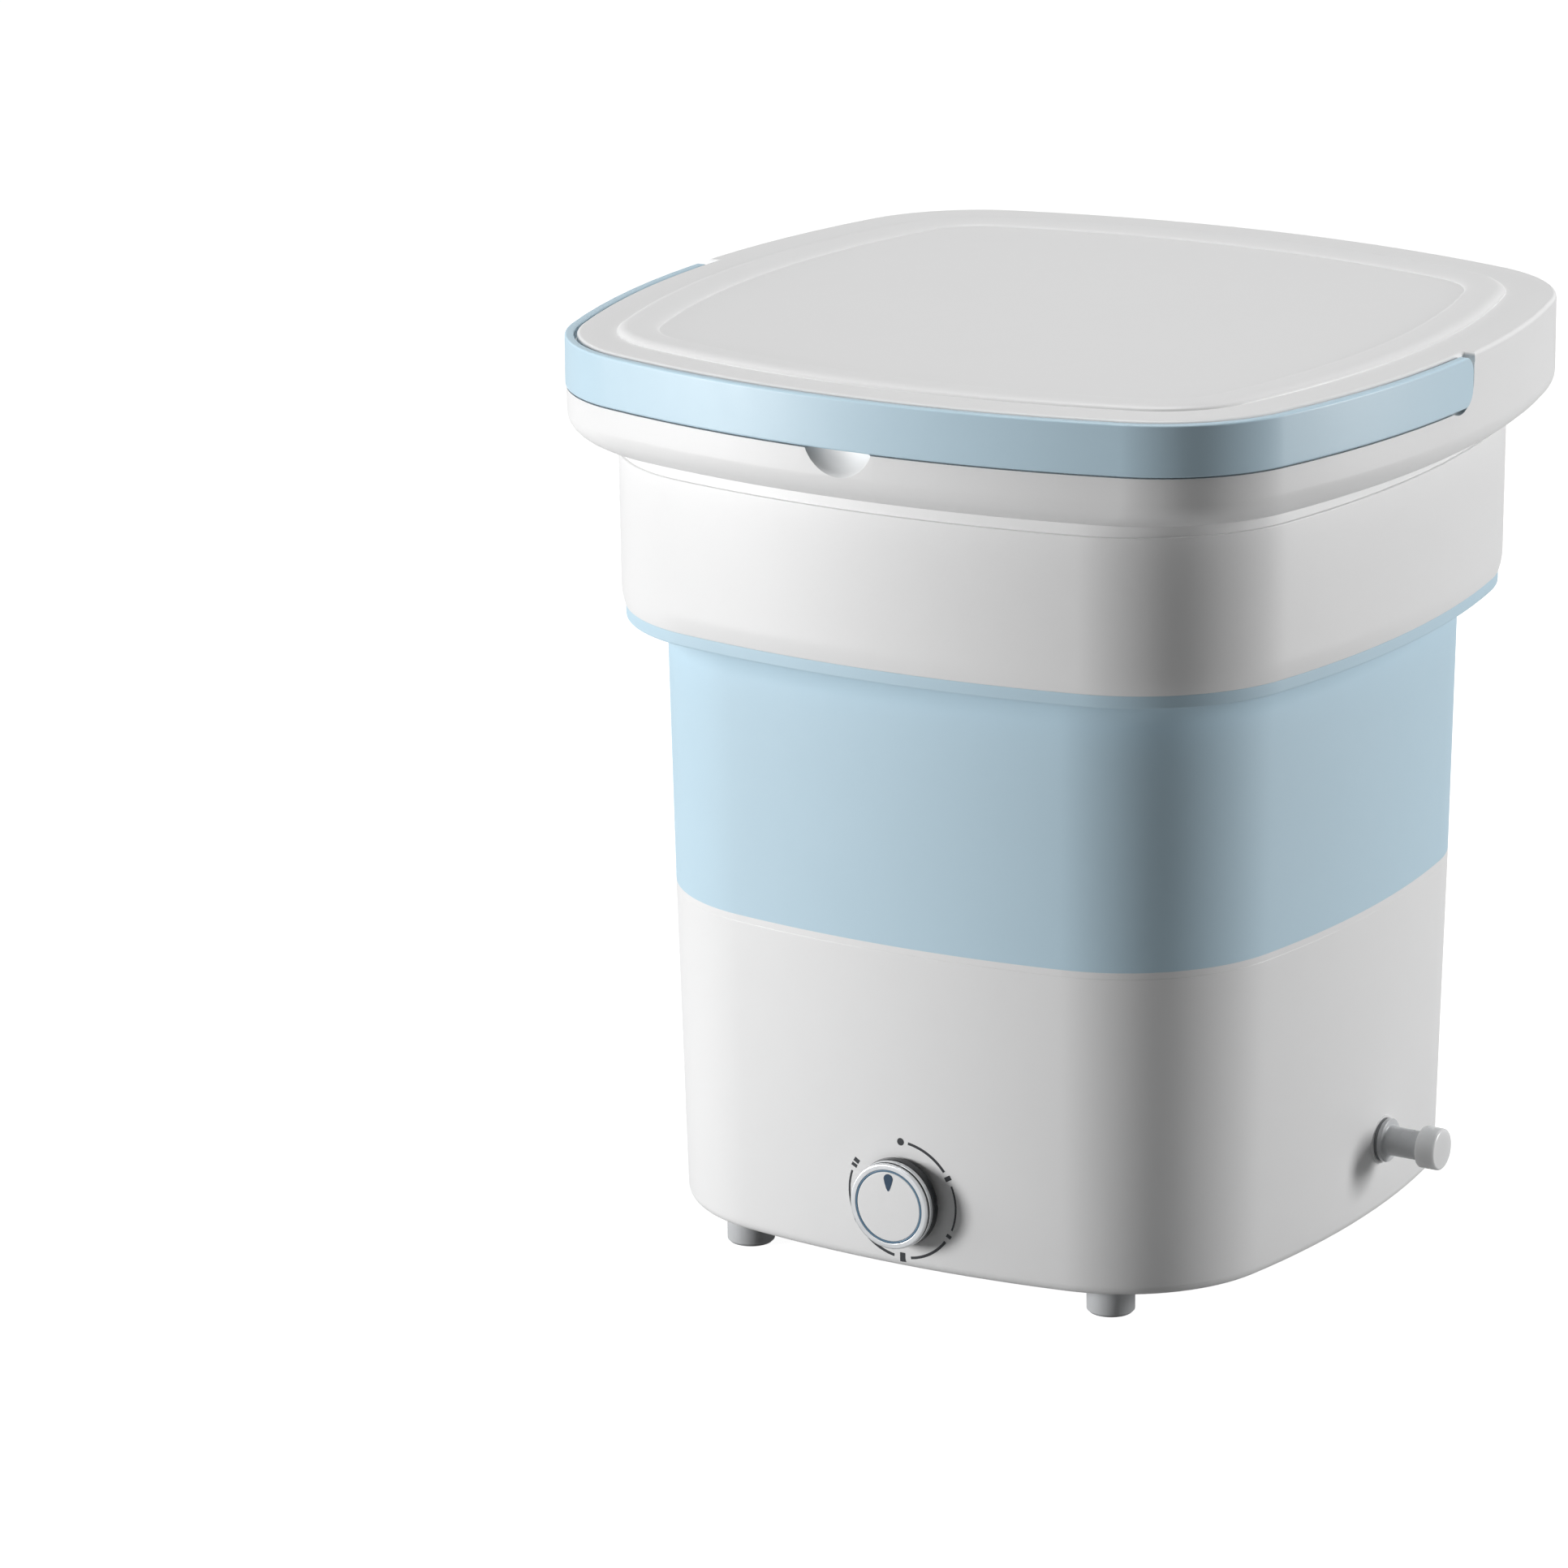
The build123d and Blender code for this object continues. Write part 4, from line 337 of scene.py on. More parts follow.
# Two closed bodies made one, or one cut by the other
def combined(bm, tool, operation):
    holders = []
    for name, body in (("bodyHolder", bm), ("toolHolder", tool)):
        cleaned(body)
        mesh = bpy.data.meshes.new(name)
        body.to_mesh(mesh)
        body.free()
        holder = bpy.data.objects.new(name, mesh)
        scene.collection.objects.link(holder)
        holders.append(holder)
    modifier = holders[0].modifiers.new("combine", "BOOLEAN")
    modifier.operation = operation
    modifier.solver = "EXACT"
    modifier.object = holders[1]
    graph = bpy.context.evaluated_depsgraph_get()
    result = bmesh.new()
    result.from_mesh(holders[0].evaluated_get(graph).data)
    for holder in holders:
        mesh = holder.data
        bpy.data.objects.remove(holder)
        bpy.data.meshes.remove(mesh)
    return result


# A finished body becomes a piece that rides with its CAD body and stands for its nodes
def addPiece(name, bm, body, material, nodes, sharpDeg=32.0):
    cleaned(bm)
    mesh = bpy.data.meshes.new(name)
    bm.to_mesh(mesh)
    bm.free()
    mesh.polygons.foreach_set("use_smooth", [True] * len(mesh.polygons))
    mesh.set_sharp_from_angle(angle=radians(sharpDeg))
    mesh.materials.append(material)
    piece = bpy.data.objects.new(name, mesh)
    scene.collection.objects.link(piece)
    even = piece.modifiers.new("evenShading", "WEIGHTED_NORMAL")
    even.keep_sharp = True
    even.weight = 50
    if body:
        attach(piece, body)
    if nodes:
        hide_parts(*nodes)
    return piece


# Base shell: tapered wall, rounded foot, ledge for the cover, flat pads behind the knob, drain and inlet
baseShape = {
    "levels": (10.5, 18.0, 26.0, 37.6, 50.0, 66.0, 84.0, 104.0, 120.0, 133.5), "insideLevels": (74.0, 34.0),
    "draft": 3.5, "wall": 2.5, "footRound": 4.0, "rimRound": 0.3, "land": 5.0, "ledge": 10.0,
    "coverTop": 13.0, "ledgeTop": 16.0, "padDepth": 4.7, "padEdge": 0.15, "holePast": 2.0,
    # way it faces, centre of its face, radius of the pad, radius of the hole through it
    "pads": (
        ("front", (3.4, -127.46, 37.6), 12.0, 5.1),
        ("right", (127.41, 20.0, 39.4), 9.3, 6.15),
        ("rear", (-30.0, 126.83, 34.0), 9.0, 5.15),
    ),
}
baseFoot, baseRim = baseShape["levels"][0], baseShape["levels"][-1]


def baseWall(level, inset=0.0):
    drafted = baseShape["draft"] * (baseRim - level) / (baseRim - baseFoot)
    return grown(baseOutline, -drafted - inset)


stations = [(baseWall(baseFoot, baseShape["land"]), baseFoot)]
stations += [(baseWall(level), level) for level in baseShape["levels"]]
stations += [(baseWall(level, baseShape["wall"]), level) for level in (baseRim,) + baseShape["insideLevels"]]
stations += [
    (baseWall(baseFoot, baseShape["wall"]), baseShape["ledgeTop"]),
    (baseWall(baseFoot, baseShape["ledge"]), baseShape["ledgeTop"]),
    (baseWall(baseFoot, baseShape["ledge"]), baseShape["coverTop"]),
    (baseWall(baseFoot, baseShape["land"]), baseShape["coverTop"]),
]
bm, rings = loft(stations)
soften(bm, rings[1], baseShape["footRound"], steps=8)
soften(bm, rings[len(baseShape["levels"])], baseShape["rimRound"], steps=2)
depth, past = baseShape["padDepth"], baseShape["holePast"]
for way, origin, padRadius, holeRadius in baseShape["pads"]:
    pad = turnedDisc(padRadius, -depth, 0, baseShape["padEdge"], steps=64)
    bm = combined(bm, placed(pad, way, origin), "UNION")
    hole = turnedDisc(holeRadius, -depth - past, past, 0, steps=48)
    bm = combined(bm, placed(hole, way, origin), "DIFFERENCE")
addPiece("baseShell", bm, "base", whitePolypropylene, ["base_shell"])
print("base shell made")

# Sleeve: thin soft wall, a cove that flares out under the upper shell, a ring along its edge, a bead in its foot
sleeveShape = {
    "foot": 136.0, "coveFoot": 228.0, "coveTop": 240.6, "top": 244.5, "swell": 2.0, "wall": 1.5, "innerRise": 0.4,
    "ringOut": -2.1, "ringIn": -5.4, "ringLap": 0.5, "ringFoot": 239.6, "ringRound": 0.9, "topIn": -7.2,
    "bead": 6.0, "beadHeight": 3.0, "coveSteps": 12, "wallSteps": 8, "roundSteps": 4,
}
coveStart = grown(baseOutline, sleeveShape["swell"])
coveEnd = grown(shellOutline, sleeveShape["ringIn"])
outer = []
for step in range(sleeveShape["wallSteps"] + 1):
    share = step / sleeveShape["wallSteps"]
    level = sleeveShape["foot"] + share * (sleeveShape["coveFoot"] - sleeveShape["foot"])
    outer.append((between(baseOutline, coveStart, share), level))
for angle in quarterTurn(sleeveShape["coveSteps"])[1:]:
    level = sleeveShape["coveFoot"] + (sleeveShape["coveTop"] - sleeveShape["coveFoot"]) * sin(angle)
    outer.append((between(coveStart, coveEnd, 1 - cos(angle)), level))
inner = [(grown(outline, -sleeveShape["wall"]), level + sleeveShape["innerRise"]) for outline, level in outer[1:-1]]
ringRound = sleeveShape["ringRound"]
outer.append((grown(shellOutline, sleeveShape["ringIn"] + sleeveShape["ringLap"]), sleeveShape["ringFoot"]))
for angle in quarterTurn(sleeveShape["roundSteps"]):
    outer.append((grown(shellOutline, sleeveShape["ringOut"] - ringRound + ringRound * sin(angle)),
                  sleeveShape["ringFoot"] + ringRound - ringRound * cos(angle)))
outer.append((grown(shellOutline, sleeveShape["ringOut"]), sleeveShape["top"]))
inner.append((grown(shellOutline, sleeveShape["topIn"]), sleeveShape["top"]))
beadTop = sleeveShape["foot"] + sleeveShape["beadHeight"]
stations = outer + inner[::-1] + [
    (grown(baseOutline, -sleeveShape["wall"]), beadTop),
    (grown(baseOutline, -sleeveShape["bead"]), beadTop),
    (grown(baseOutline, -sleeveShape["bead"]), sleeveShape["foot"]),
]
bm, rings = loft(stations)
sleevePiece = addPiece("sleeve", bm, None, blueElastomer, ["sleeve"])
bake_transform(sleevePiece)
print("sleeve made")

# Upper shell: straight wall with a rolled lower edge and an inward flange
shellShape = {
    "bottom": 244.5, "top": 303.0, "levels": (266.0, 284.0, 303.0), "draft": 0.5, "wall": 2.5,
    "edgeRise": 8.0, "edgeInset": 1.4, "edgeSteps": 8, "edgeRound": 0.4, "flange": 8.0, "flangeThick": 2.5,
}
shellBottom, shellTop, draft = shellShape["bottom"], shellShape["top"], shellShape["draft"]
plainHeight = shellTop - shellBottom - shellShape["edgeRise"]
flangeTop = shellBottom + shellShape["flangeThick"]
stations = []
for step in range(shellShape["edgeSteps"] + 1):
    rise = step / shellShape["edgeSteps"]
    offset = -draft - shellShape["edgeInset"] * (1 - rise) ** 2
    stations.append((grown(shellOutline, offset), shellBottom + shellShape["edgeRise"] * rise))
stations += [(grown(shellOutline, -draft * (shellTop - level) / plainHeight), level) for level in shellShape["levels"]]
stations += [
    (grown(shellOutline, -shellShape["wall"]), shellTop),
    (grown(shellOutline, -draft - shellShape["wall"]), flangeTop),
    (grown(shellOutline, -draft - shellShape["flange"]), flangeTop),
    (grown(shellOutline, -draft - shellShape["flange"]), shellBottom),
]
bm, rings = loft(stations)
for edgeRing in (rings[0], rings[shellShape["edgeSteps"] + len(shellShape["levels"])]):
    soften(bm, edgeRing, shellShape["edgeRound"], steps=3)
addPiece("upperShell", bm, "upper", whitePolypropylene, ["upper_shell"])
print("upper shell made")

# Collar: neck, swelling round, plain band, with room for the handle and a finger notch in front
collarShape = {
    "bottom": 303.0, "neckTop": 308.0, "roundTop": 320.0, "top": 345.3, "neckInset": 1.2, "wall": 2.5,
    "rimOffset": -5.9, "rimBottom": 326.5, "skirt": (-2.8, -5.0, 296.0), "roundSteps": 10,
    "recess": -3.4, "recessFloor": 329.0, "roomOut": 3.0, "roomLevels": (322.0, 356.0), "roomHalf": 200.0,
    # the room's section ends in an arc round the pivots; its other corners are (y, z)
    "pivot": 339.0, "tailClear": 11.04, "arcStart": -115.0, "arcSteps": 24,
    "roomCorners": ((11.04, 364), (-190, 364), (-190, 329), (-4.66, 329)),
    "backingSize": (40.0, 6.5, 16.2), "backingMiddle": (0, -158.76, 325.1),
    "notchDepth": 7.0, "notchBall": 19.713, "notchRise": 5.566, "notchTop": 0.2,
}
neck = grown(shellOutline, -collarShape["neckInset"])
neckInside = grown(neck, -collarShape["wall"])
neckTop, roundTop, wall = collarShape["neckTop"], collarShape["roundTop"], collarShape["wall"]
outside = [(neck, collarShape["bottom"]), (neck, neckTop)]
inside = [(neckInside, neckTop), (neckInside, neckTop + wall)]
for angle in quarterTurn(collarShape["roundSteps"])[1:]:
    swelling = between(neck, collarOutline, sin(angle))
    outside.append((swelling, roundTop - (roundTop - neckTop) * cos(angle)))
    inside.append((grown(swelling, -wall), roundTop - (roundTop - neckTop - wall) * cos(angle)))
outside.append((collarOutline, collarShape["top"]))
inside.append((grown(collarOutline, -wall), collarShape["rimBottom"]))
rim = grown(collarOutline, collarShape["rimOffset"])
skirtOut, skirtIn, skirtBottom = collarShape["skirt"]
stations = outside + [(rim, collarShape["top"]), (rim, collarShape["rimBottom"])] + inside[::-1]
stations += [
    (grown(shellOutline, skirtIn), neckTop),
    (grown(shellOutline, skirtIn), skirtBottom),
    (grown(shellOutline, skirtOut), skirtBottom),
    (grown(shellOutline, skirtOut), collarShape["bottom"]),
]
bm, rings = loft(stations)

# the room is a band of the wall, kept where a long bar in front of the pivots crosses it
band, beyond = grown(collarOutline, collarShape["recess"]), grown(collarOutline, collarShape["roomOut"])
roomLow, roomHigh = collarShape["roomLevels"]
handleRoom, rings = loft([(band, roomLow), (beyond, roomLow), (beyond, roomHigh), (band, roomHigh)])
pivot, clear, roomHalf = collarShape["pivot"], collarShape["tailClear"], collarShape["roomHalf"]
start = radians(collarShape["arcStart"])
bar = bmesh.new()
first = bar.verts.new((-roomHalf * mm, clear * cos(start) * mm, (pivot + clear * sin(start)) * mm))
bmesh.ops.spin(bar, geom=[first], cent=(-roomHalf * mm, 0, pivot * mm), axis=(1, 0, 0),
               angle=-start, steps=collarShape["arcSteps"])
bar.verts.ensure_lookup_table()
last = bar.verts[len(bar.verts) - 1]
for y, z in collarShape["roomCorners"]:
    corner = bar.verts.new((-roomHalf * mm, y * mm, z * mm))
    bar.edges.new((last, corner))
    last = corner
bar.edges.new((last, first))
bmesh.ops.contextual_create(bar, geom=bar.edges[:])
handleRoom = combined(handleRoom, pushed(bar, (2 * roomHalf * mm, 0, 0)), "INTERSECT")

# only the ball's lower part cuts, so the wall behind the handle stays closed
notch = bmesh.new()
bmesh.ops.create_uvsphere(notch, u_segments=96, v_segments=64, radius=collarShape["notchBall"] * mm)
notchY = -collarOutline[0] + collarShape["notchDepth"] - collarShape["notchBall"]
bmesh.ops.translate(notch, vec=(0, notchY * mm, (collarShape["recessFloor"] + collarShape["notchRise"]) * mm),
                    verts=notch.verts)
notchTop = (collarShape["recessFloor"] + collarShape["notchTop"]) * mm
flat = bmesh.ops.bisect_plane(notch, geom=notch.verts[:] + notch.edges[:] + notch.faces[:],
                              plane_co=(0, 0, notchTop), plane_no=(0, 0, 1), clear_outer=True)
bmesh.ops.contextual_create(notch, geom=[g for g in flat["geom_cut"] if isinstance(g, bmesh.types.BMEdge)])
bm = combined(bm, block(collarShape["backingSize"], collarShape["backingMiddle"]), "UNION")
bm = combined(bm, handleRoom, "DIFFERENCE")
bm = combined(bm, notch, "DIFFERENCE")
addPiece("collar", bm, "upper", whitePolypropylene, ["collar"])
print("collar made")

# Handle: a band round the front half with rounded tails at its pivots
handleShape = {
    "outer": 0.46, "inner": -3.0, "bottom": 329.5, "top": 348.5, "edge": 0.8, "width": 400.0,
    "front": -210.0, "tail": 9.5, "tailRound": 7.0, "tailStretch": 1.02,
}
faceIn, faceOut = grown(collarOutline, handleShape["inner"]), grown(collarOutline, handleShape["outer"])
bottom, top = handleShape["bottom"], handleShape["top"]
front, tailEnd = handleShape["front"], handleShape["tail"]
bm, rings = loft([(faceIn, bottom), (faceOut, bottom), (faceOut, top), (faceIn, top)])
for ring in rings:
    soften(bm, ring, handleShape["edge"], steps=4)
tail = block((handleShape["width"], tailEnd - front, top - bottom), (0, (tailEnd + front) / 2, pivot))
ends = [e for e in tail.edges if all(v.co.y > 0 for v in e.verts) and abs(e.verts[0].co.x - e.verts[1].co.x) > 0.1]
soften(tail, ends, handleShape["tailRound"], steps=16)
bmesh.ops.scale(tail, vec=(1, 1, handleShape["tailStretch"]), space=Matrix.Translation((0, 0, -pivot * mm)),
                verts=tail.verts)
bm = combined(bm, tail, "INTERSECT")
addPiece("handle", bm, "handle", bluePolypropylene, ["handle"])
print("handle made")

# Lid: plate inside the handle in front and flush with the collar behind, a raised ridge and a dished middle
lidShape = {
    "bottom": 345.3, "top": 349.0, "front": -4.0, "rearStart": 11.44, "edge": 1.5,
    "cutOut": 4.0, "cutLevels": (342.0, 354.0), "cutterSize": (500.0, 250.0, 50.0), "cutterLevel": 348.0,
    "ridgeStart": 347.0, "ridgeFoot": -19.0, "ridgeCrest": -23.5, "crestTop": 351.0, "land": 1.0,
    "dishSlope": 10.0, "panel": 349.4, "steps": 8,
    "skirt": -7.3, "skirtThick": 2.0, "skirtLevels": (338.3, 346.5), "pocketLevels": (334.0, 346.9),
}
lidTop = lidShape["top"]
bm = plate(collarOutline, lidShape["bottom"], lidTop)
frontIn, frontOut = grown(collarOutline, lidShape["front"]), grown(collarOutline, lidShape["cutOut"])
cutLow, cutHigh = lidShape["cutLevels"]
frontBand, rings = loft([(frontIn, cutLow), (frontOut, cutLow), (frontOut, cutHigh), (frontIn, cutHigh)])
cutterY = lidShape["rearStart"] - lidShape["cutterSize"][1] / 2
cutter = block(lidShape["cutterSize"], (0, cutterY, lidShape["cutterLevel"]))
bm = cleaned(combined(bm, combined(frontBand, cutter, "INTERSECT"), "DIFFERENCE"))
rimEdges = [e for e in bm.edges
            if all(abs(v.co.z - lidTop * mm) < 1e-5 for v in e.verts)
            and any(abs(f.normal.z) < 0.5 for f in e.link_faces)]
soften(bm, rimEdges, lidShape["edge"], steps=6)
crest = lidShape["ridgeCrest"]
width = lidShape["ridgeFoot"] - crest
crestRise = lidShape["crestTop"] - lidTop
dishDrop = lidShape["crestTop"] - lidShape["panel"]
ridge = [(grown(collarOutline, lidShape["ridgeFoot"]), lidShape["ridgeStart"])]
for angle in quarterTurn(lidShape["steps"]):
    ridge.append((grown(collarOutline, crest + width * cos(angle)), lidTop + crestRise * sin(angle)))
for angle in quarterTurn(lidShape["steps"]):
    ridge.append((grown(collarOutline, crest - lidShape["land"] - lidShape["dishSlope"] * sin(angle)),
                  lidShape["panel"] + dishDrop * cos(angle)))
panel, rings = loft(ridge, closed=False)
bmesh.ops.contextual_create(panel, geom=rings[0])
bmesh.ops.contextual_create(panel, geom=rings[-1])
skirt = grown(collarOutline, lidShape["skirt"])
bm = combined(bm, panel, "UNION")
bm = combined(bm, plate(skirt, *lidShape["skirtLevels"]), "UNION")
bm = combined(bm, plate(grown(skirt, -lidShape["skirtThick"]), *lidShape["pocketLevels"]), "DIFFERENCE")
addPiece("lid", bm, "lid", whitePolypropylene, ["lid"])
print("lid made")

# Knob: a grip with a silver band and a bright bezel, its groove and back band black as painted shade and painted
# reflection, a white cap, its ring line and pointer
knobShape = {
    "centre": (3.4, 37.6), "back": 129.06, "front": 136.956, "steps": 128,
    "grip": ((3.0, 0.0, 0), (8.5, 0.0, 0), (16.6, 0.0, 0), (17.0, 0.5, 0.3), (16.8, 3.2, 0.3), (16.35, 3.5, 0.15),
             (16.75, 3.8, 0.25), (16.6, 5.5, 0.25), (16.1, 5.8, 0.15), (16.1, 6.2, 0.15), (16.5, 6.5, 0.3),
             (16.35, 7.9, 0.6), (14.2, 7.9, 0.2), (14.16, 6.7, 0), (3.0, 6.7, 0)),
    "silverBand": (3.7, 5.6), "bezelStart": 6.3,
    "cap": ((0, 6.72, 0), (13.38, 6.72, 0), (13.38, 7.75, 0.35), (9.0, 7.86, 0), (0, 7.88, 0)),
    "ring": ((13.42, 6.72, 0), (14.12, 6.72, 0), (14.12, 7.8, 0.2), (13.42, 7.8, 0.2)),
    "pointerTop": 12.7, "pointerWide": 1.9, "pointerTaper": 0.42, "pointerStretch": 2.5, "pointerThick": 0.3,
    "pointerSunk": 0.24,
}
knobX, knobZ = knobShape["centre"]
knobBack = (knobX, -knobShape["back"], knobZ)
grip = placed(turnedBody(knobShape["grip"], knobShape["steps"]), "front", knobBack)
knobPiece = addPiece("knobGrip", grip, "knob", paintedShadeBlack, ["knob"])
knobPiece.data.materials.append(satinChrome)
bandLow, bandHigh = knobShape["silverBand"]
# faces outside the bezel and the silver band keep the black: painted shade in the groove and at the back, and painted
# reflection on the side
for face in knobPiece.data.polygons:
    middle = -face.center.y / mm - knobShape["back"]
    if middle > knobShape["bezelStart"] or bandLow < middle < bandHigh:
        face.material_index = 1
cap = placed(turnedBody(knobShape["cap"], knobShape["steps"], closed=False), "front", knobBack)
addPiece("knobCap", cap, "knob", whitePolypropylene, ["knob_cap"])
ringLine = placed(turnedBody(knobShape["ring"], knobShape["steps"]), "front", knobBack)
addPiece("knobRing", ringLine, "knob", blueInlay, ["knob_ring"])
# The pointer is a drop: round above, drawn out below, and a hair proud of the cap
pointerWide = knobShape["pointerWide"]
pointer = bmesh.new()
bmesh.ops.create_circle(pointer, cap_ends=True, segments=40, radius=pointerWide * mm)
for v in pointer.verts:
    if v.co.y < 0:
        v.co.x *= 1 + knobShape["pointerTaper"] * v.co.y / (pointerWide * mm)
        v.co.y *= knobShape["pointerStretch"]
pushed(pointer, (0, 0, knobShape["pointerThick"] * mm))
pointerPlace = (knobX, -knobShape["front"] + knobShape["pointerSunk"], knobZ + knobShape["pointerTop"] - pointerWide)
addPiece("knobPointer", placed(pointer, "front", pointerPlace), "knob", navyInlay, ["knob_pointer"])
print("knob made")

# Printed dial: thin arcs between six marks, laid on the bowed and tapered front wall
dialShape = {
    "radius": 22.7, "dot": 1.45, "proud": 0.06, "thick": 0.2,
    # degrees from the top: start, end and line width of each arc; angle, width and length of each bar
    "arcs": ((8, 53, 1.05), (68, 113, 0.7), (127, 171, 1.05), (189, 234, 1.1), (247, 290, 0.8)),
    "bars": ((60, 1.8, 2.6), (120, 1.4, 2.0), (180, 2.2, 3.6), (240, 1.4, 2.0), (296.5, 1.3, 2.4), (302, 1.7, 2.4)),
}
dialRadius = dialShape["radius"]


def wallFront(x, z):
    half, corner, bow = baseWall(z)
    return -(half - bow + sqrt(bow ** 2 - x ** 2))


def dialPoint(angle, radius):
    return Vector((radius * sin(angle) * mm, radius * cos(angle) * mm, 0))


dial = bmesh.new()
for firstDeg, lastDeg, line in dialShape["arcs"]:
    start = radians(firstDeg)
    low = dial.verts.new(dialPoint(start, dialRadius - line / 2))
    high = dial.verts.new(dialPoint(start, dialRadius + line / 2))
    edge = dial.edges.new((low, high))
    bmesh.ops.spin(dial, geom=[low, high, edge], cent=(0, 0, 0), axis=(0, 0, -1),
                   angle=radians(lastDeg - firstDeg), steps=20)
bmesh.ops.create_circle(dial, cap_ends=True, segments=24, radius=dialShape["dot"] * mm,
                        matrix=Matrix.Translation(dialPoint(0, dialRadius)))
for angleDeg, barWide, barLong in dialShape["bars"]:
    angle = radians(angleDeg)
    spot = Matrix.Translation(dialPoint(angle, dialRadius)) @ Matrix.Rotation(-angle, 4, "Z")
    bmesh.ops.create_grid(dial, x_segments=1, y_segments=2, size=0.5 * mm,
                          matrix=spot @ Matrix.Diagonal((barWide, barLong, 1, 1)))
bmesh.ops.recalc_face_normals(dial, faces=dial.faces)
pushed(dial, (0, 0, dialShape["thick"] * mm))
for v in dial.verts:
    x, z, height = knobX + v.co.x / mm, knobZ + v.co.y / mm, v.co.z / mm
    v.co = Vector((x, wallFront(x, z) - height + dialShape["thick"] - dialShape["proud"], z)) * mm
addPiece("dialMarks", dial, "base", printedInk, [])
print("dial marks made")

# Drain: flanged spout with its bore, and the push-on cap; their heights run out from the gasket's face
drainShape = {
    "face": (128.41, 20.0, 39.4), "steps": 72,
    "spout": ((3.5, -16.5, 0), (6.0, -16.5, 0.3), (6.0, 0.0, 0), (8.35, 0.0, 0.3), (8.35, 1.8, 0.5), (5.9, 1.8, 0.5),
              (5.6, 3.2, 0.4), (5.5, 21.896, 0.4), (3.5, 21.896, 0.3)),
    "cap": ((5.55, 15.696, 0.2), (7.7, 15.696, 0.3), (8.0, 16.096, 0.2), (8.0, 23.696, 1.0), (0, 23.696, 0),
            (0, 22.096, 0), (5.55, 22.096, 0)),
}
spout = placed(turnedBody(drainShape["spout"], drainShape["steps"]), "right", drainShape["face"])
addPiece("drainSpout", spout, "base", greyAbs, ["drain_spout"])
drainCap = placed(turnedBody(drainShape["cap"], drainShape["steps"], closed=False), "right", drainShape["face"])
addPiece("drainCap", drainCap, "drain_cap", milkyPolyethylene, ["drain_cap"])
print("drain made")

# Feet: turned rubber discs with a chamfered tread and a plug through the cover
footShape = {
    "section": ((0, 0.6, 0), (5.5, 0.6, 0), (6.0, 0, 0), (8.0, 0, 0), (9.0, 1.0, 0.2), (9.0, 10.5, 0.3), (3.0, 10.5, 0),
                (3.0, 13.0, 0), (4.0, 13.0, 0), (3.45, 14.5, 0.2), (0, 14.5, 0)),
    "rows": (("front", -102.0), ("rear", 102.0)), "sides": (("left", -78.0), ("right", 78.0)), "steps": 48,
}
for rowName, footY in footShape["rows"]:
    for sideName, footX in footShape["sides"]:
        footBody = turnedBody(footShape["section"], footShape["steps"], closed=False)
        name = "foot" + rowName.capitalize() + sideName.capitalize()
        addPiece(name, placed(footBody, "up", (footX, footY, 0)), "base", footRubber,
                 ["foot_" + rowName + "_" + sideName])
print("feet made")

# Leads inside the base: each one sags a little between the two parts that hold its ends
leadShape = {
    "diameter": 3.0,
    "routes": {
        "powerLead": ("power_lead", 58.4, (
            (-30, 112.83, 34), (-30, 97.83, 34), (-21, 87.83, 31), (-7, 81, 26.6), (8, 81, 26.6))),
        "motorLead": ("motor_lead", 97.6, (
            (-68, 31, 37), (-68, 46, 37), (-58, 58.72, 35), (-36, 66, 31), (-7, 67, 26.6), (8, 67, 26.6))),
        "switchLead": ("switch_lead", 175.2, (
            (3.4, -108.76, 37.6), (3.4, -93.76, 37.6), (15.4, -71.33, 36.6), (36, -45.28, 35.6),
            (49, -14.36, 34.1), (51, 14.94, 31.6), (47, 39, 26.6), (47, 54, 26.6))),
    },
}
for leadName, (nodeName, leadLength, route) in leadShape["routes"].items():
    leadData = bpy.data.curves.new(leadName, "CURVE")
    leadData.dimensions = "3D"
    leadData.bevel_depth = leadShape["diameter"] / 2 * mm
    leadData.bevel_resolution = 5
    leadData.resolution_u = 12
    leadData.use_fill_caps = True
    line = leadData.splines.new("NURBS")
    line.points.add(len(route) - 1)
    for point, place in zip(line.points, route):
        point.co = [size * mm for size in place] + [1.0]
    line.order_u = 3
    line.use_endpoint_u = True
    leadData.materials.append(pvcSheath)
    lead = bpy.data.objects.new(leadName, leadData)
    scene.collection.objects.link(lead)
    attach(lead, "base")
    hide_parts(nodeName)
print("leads made")

# Studio: floor and world are white to the camera, partly so to mirrors and dim to the object, so the lamps shape it
studio = {
    "floorHalf": 20.0, "floorGlow": 0.95, "floorLit": 0.5, "floorDim": 0.33, "floorMirrored": 0.3,
    "worldMirrored": 0.6, "worldDim": 0.02, "target": (0, 0, 0.174),
    # degrees from the front towards the right, height, distance, width, tall, watts
    "lamps": {
        "keyLamp": (-43, 0.33, 2.2, 0.5, 0.65, 36.0),
        "sideLamp": (-62, 0.6, 2.2, 0.7, 1.0, 6.0),
        "fillLamp": (124, 0.44, 2.2, 0.45, 0.85, 31.0),
        "topLamp": (0, 2.4, 0.0, 1.2, 1.2, 31.0),
    },
}


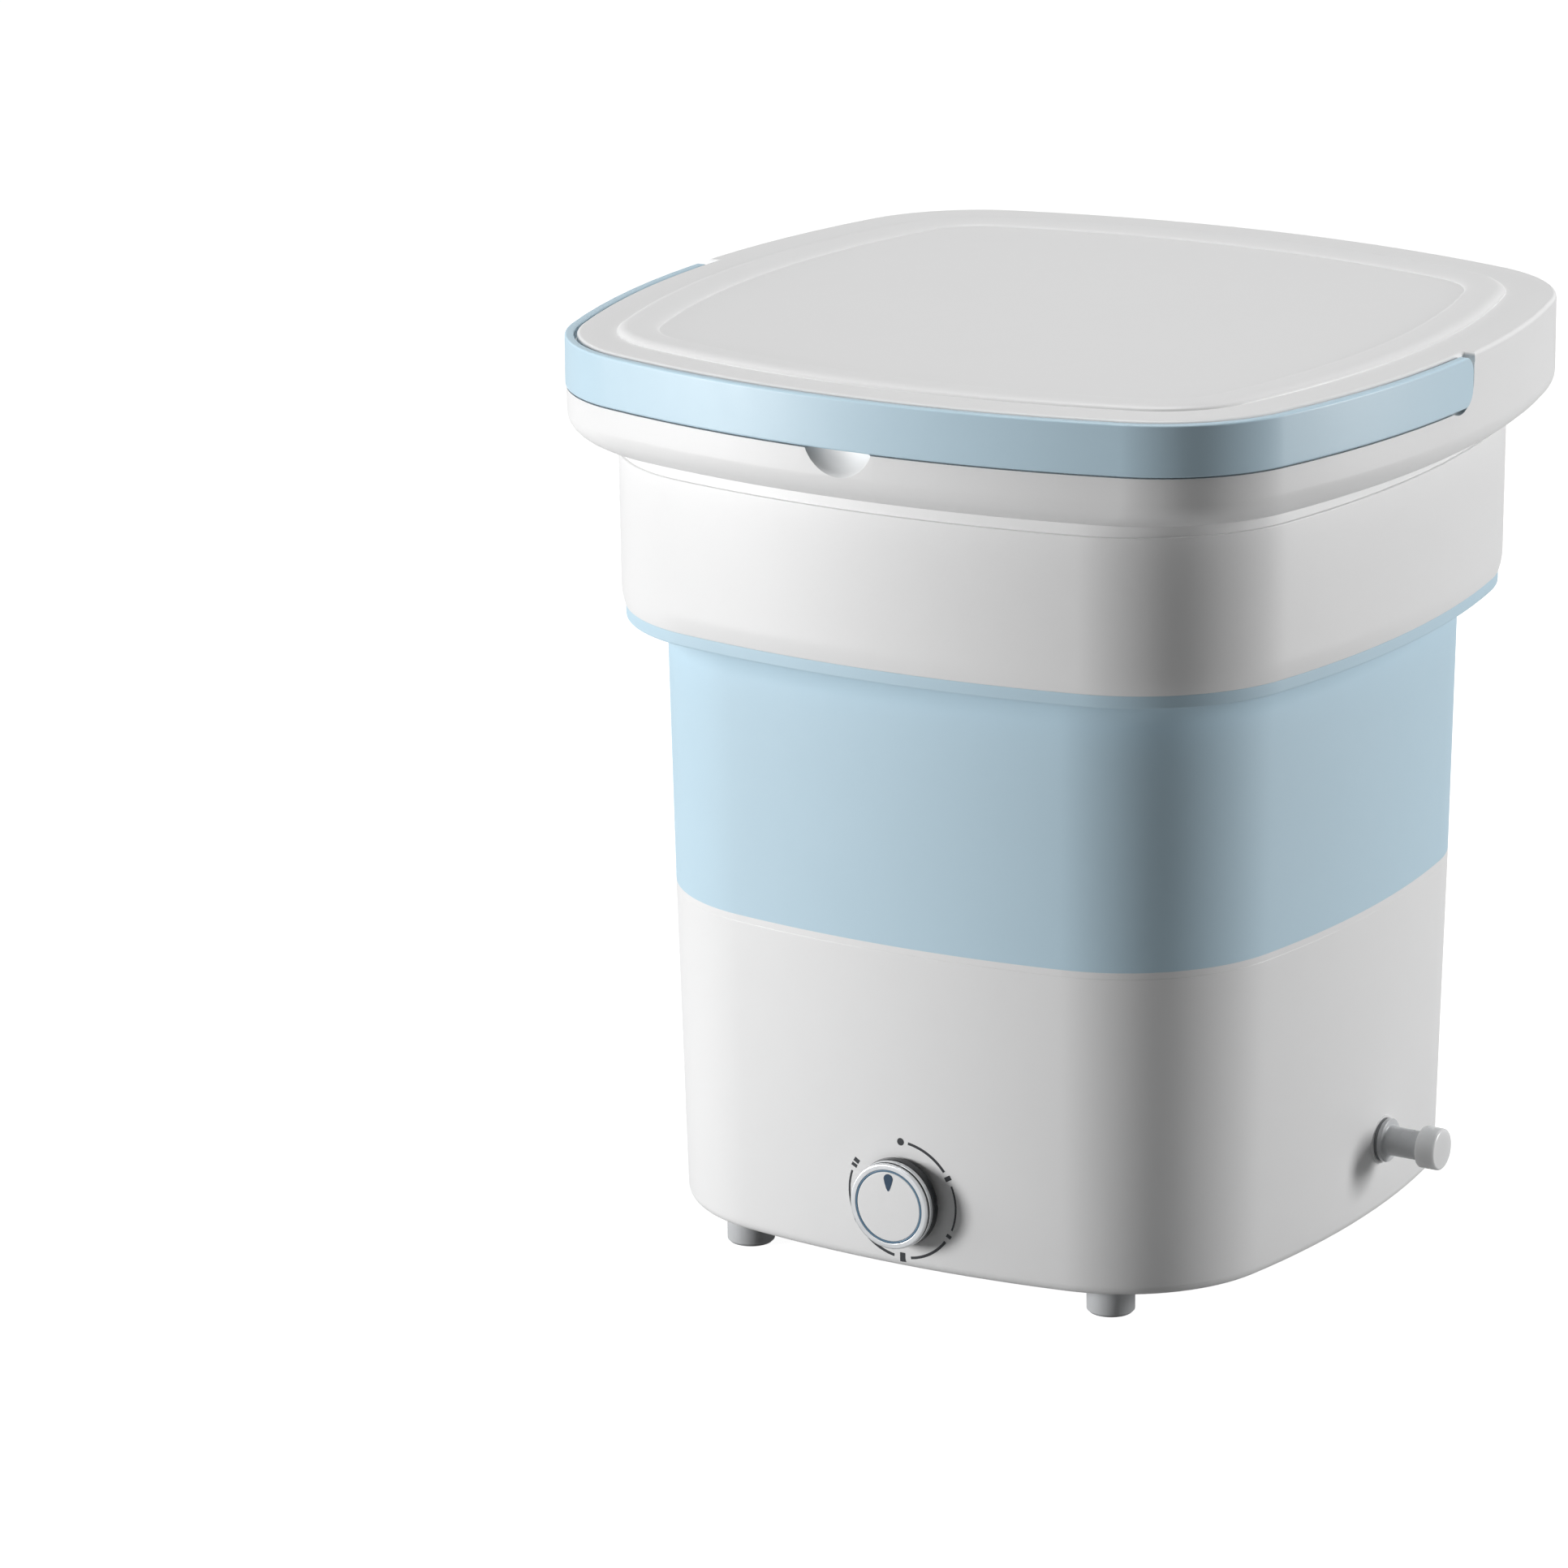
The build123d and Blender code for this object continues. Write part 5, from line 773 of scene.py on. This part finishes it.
# How white a ray sees it: fully for camera and transmission rays, a share for mirror rays
def whiteShare(tree, mirroredShare):
    rays = addNode(tree, "LightPath").outputs
    seen = addNode(tree, "Math", {0: rays["Is Camera Ray"], 1: rays["Is Transmission Ray"]}, operation="MAXIMUM")
    mirrored = addNode(tree, "Math", {0: rays["Is Glossy Ray"], 1: mirroredShare}, operation="MULTIPLY")
    return addNode(tree, "Math", {0: seen.outputs[0], 1: mirrored.outputs[0]}, operation="MAXIMUM").outputs[0]


def greyLevel(level):
    return (level, level, level, 1)


floorMesh = bmesh.new()
bmesh.ops.create_grid(floorMesh, x_segments=1, y_segments=1, size=studio["floorHalf"])
floorData = bpy.data.meshes.new("studioFloor")
floorMesh.to_mesh(floorData)
floorMesh.free()
floorObject = bpy.data.objects.new("studioFloor", floorData)
scene.collection.objects.link(floorObject)
floorObject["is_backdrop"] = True
paper = emptyMaterial("paperSweep")
tree = paper.node_tree
share = whiteShare(tree, studio["floorMirrored"])
lit = addNode(tree, "BsdfDiffuse", {"Color": greyLevel(studio["floorLit"])})
glow = addNode(tree, "Emission", {"Color": greyLevel(1), "Strength": studio["floorGlow"]})
bright = addNode(tree, "AddShader", {0: lit.outputs[0], 1: glow.outputs[0]})
dim = addNode(tree, "BsdfDiffuse", {"Color": greyLevel(studio["floorDim"])})
either = addNode(tree, "MixShader", {0: share, 1: dim.outputs[0], 2: bright.outputs[0]})
addNode(tree, "OutputMaterial", {"Surface": either.outputs[0]})
floorData.materials.append(paper)

world = bpy.data.worlds.new("studio")
world.use_nodes = True
scene.world = world
tree = world.node_tree
tree.nodes.clear()
share = whiteShare(tree, studio["worldMirrored"])
level = addNode(tree, "Math", {0: share, 1: studio["worldDim"]}, operation="MAXIMUM")
white = addNode(tree, "Background", {"Color": greyLevel(1), "Strength": level.outputs[0]})
addNode(tree, "OutputWorld", {"Surface": white.outputs[0]})

for lampName, (angleDeg, height, distance, width, tall, watts) in studio["lamps"].items():
    lampData = bpy.data.lights.new(lampName, "AREA")
    lampData.shape = "RECTANGLE"
    lampData.size = width
    lampData.size_y = tall
    lampData.energy = watts
    lamp = bpy.data.objects.new(lampName, lampData)
    angle = radians(angleDeg)
    lamp.location = (distance * sin(angle), -distance * cos(angle), height)
    lamp.rotation_euler = (lamp.location - Vector(studio["target"])).to_track_quat("Z", "Y").to_euler()
    scene.collection.objects.link(lamp)
print("floor, world and lamps made")

bpy.context.view_layer.update()
low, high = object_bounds()
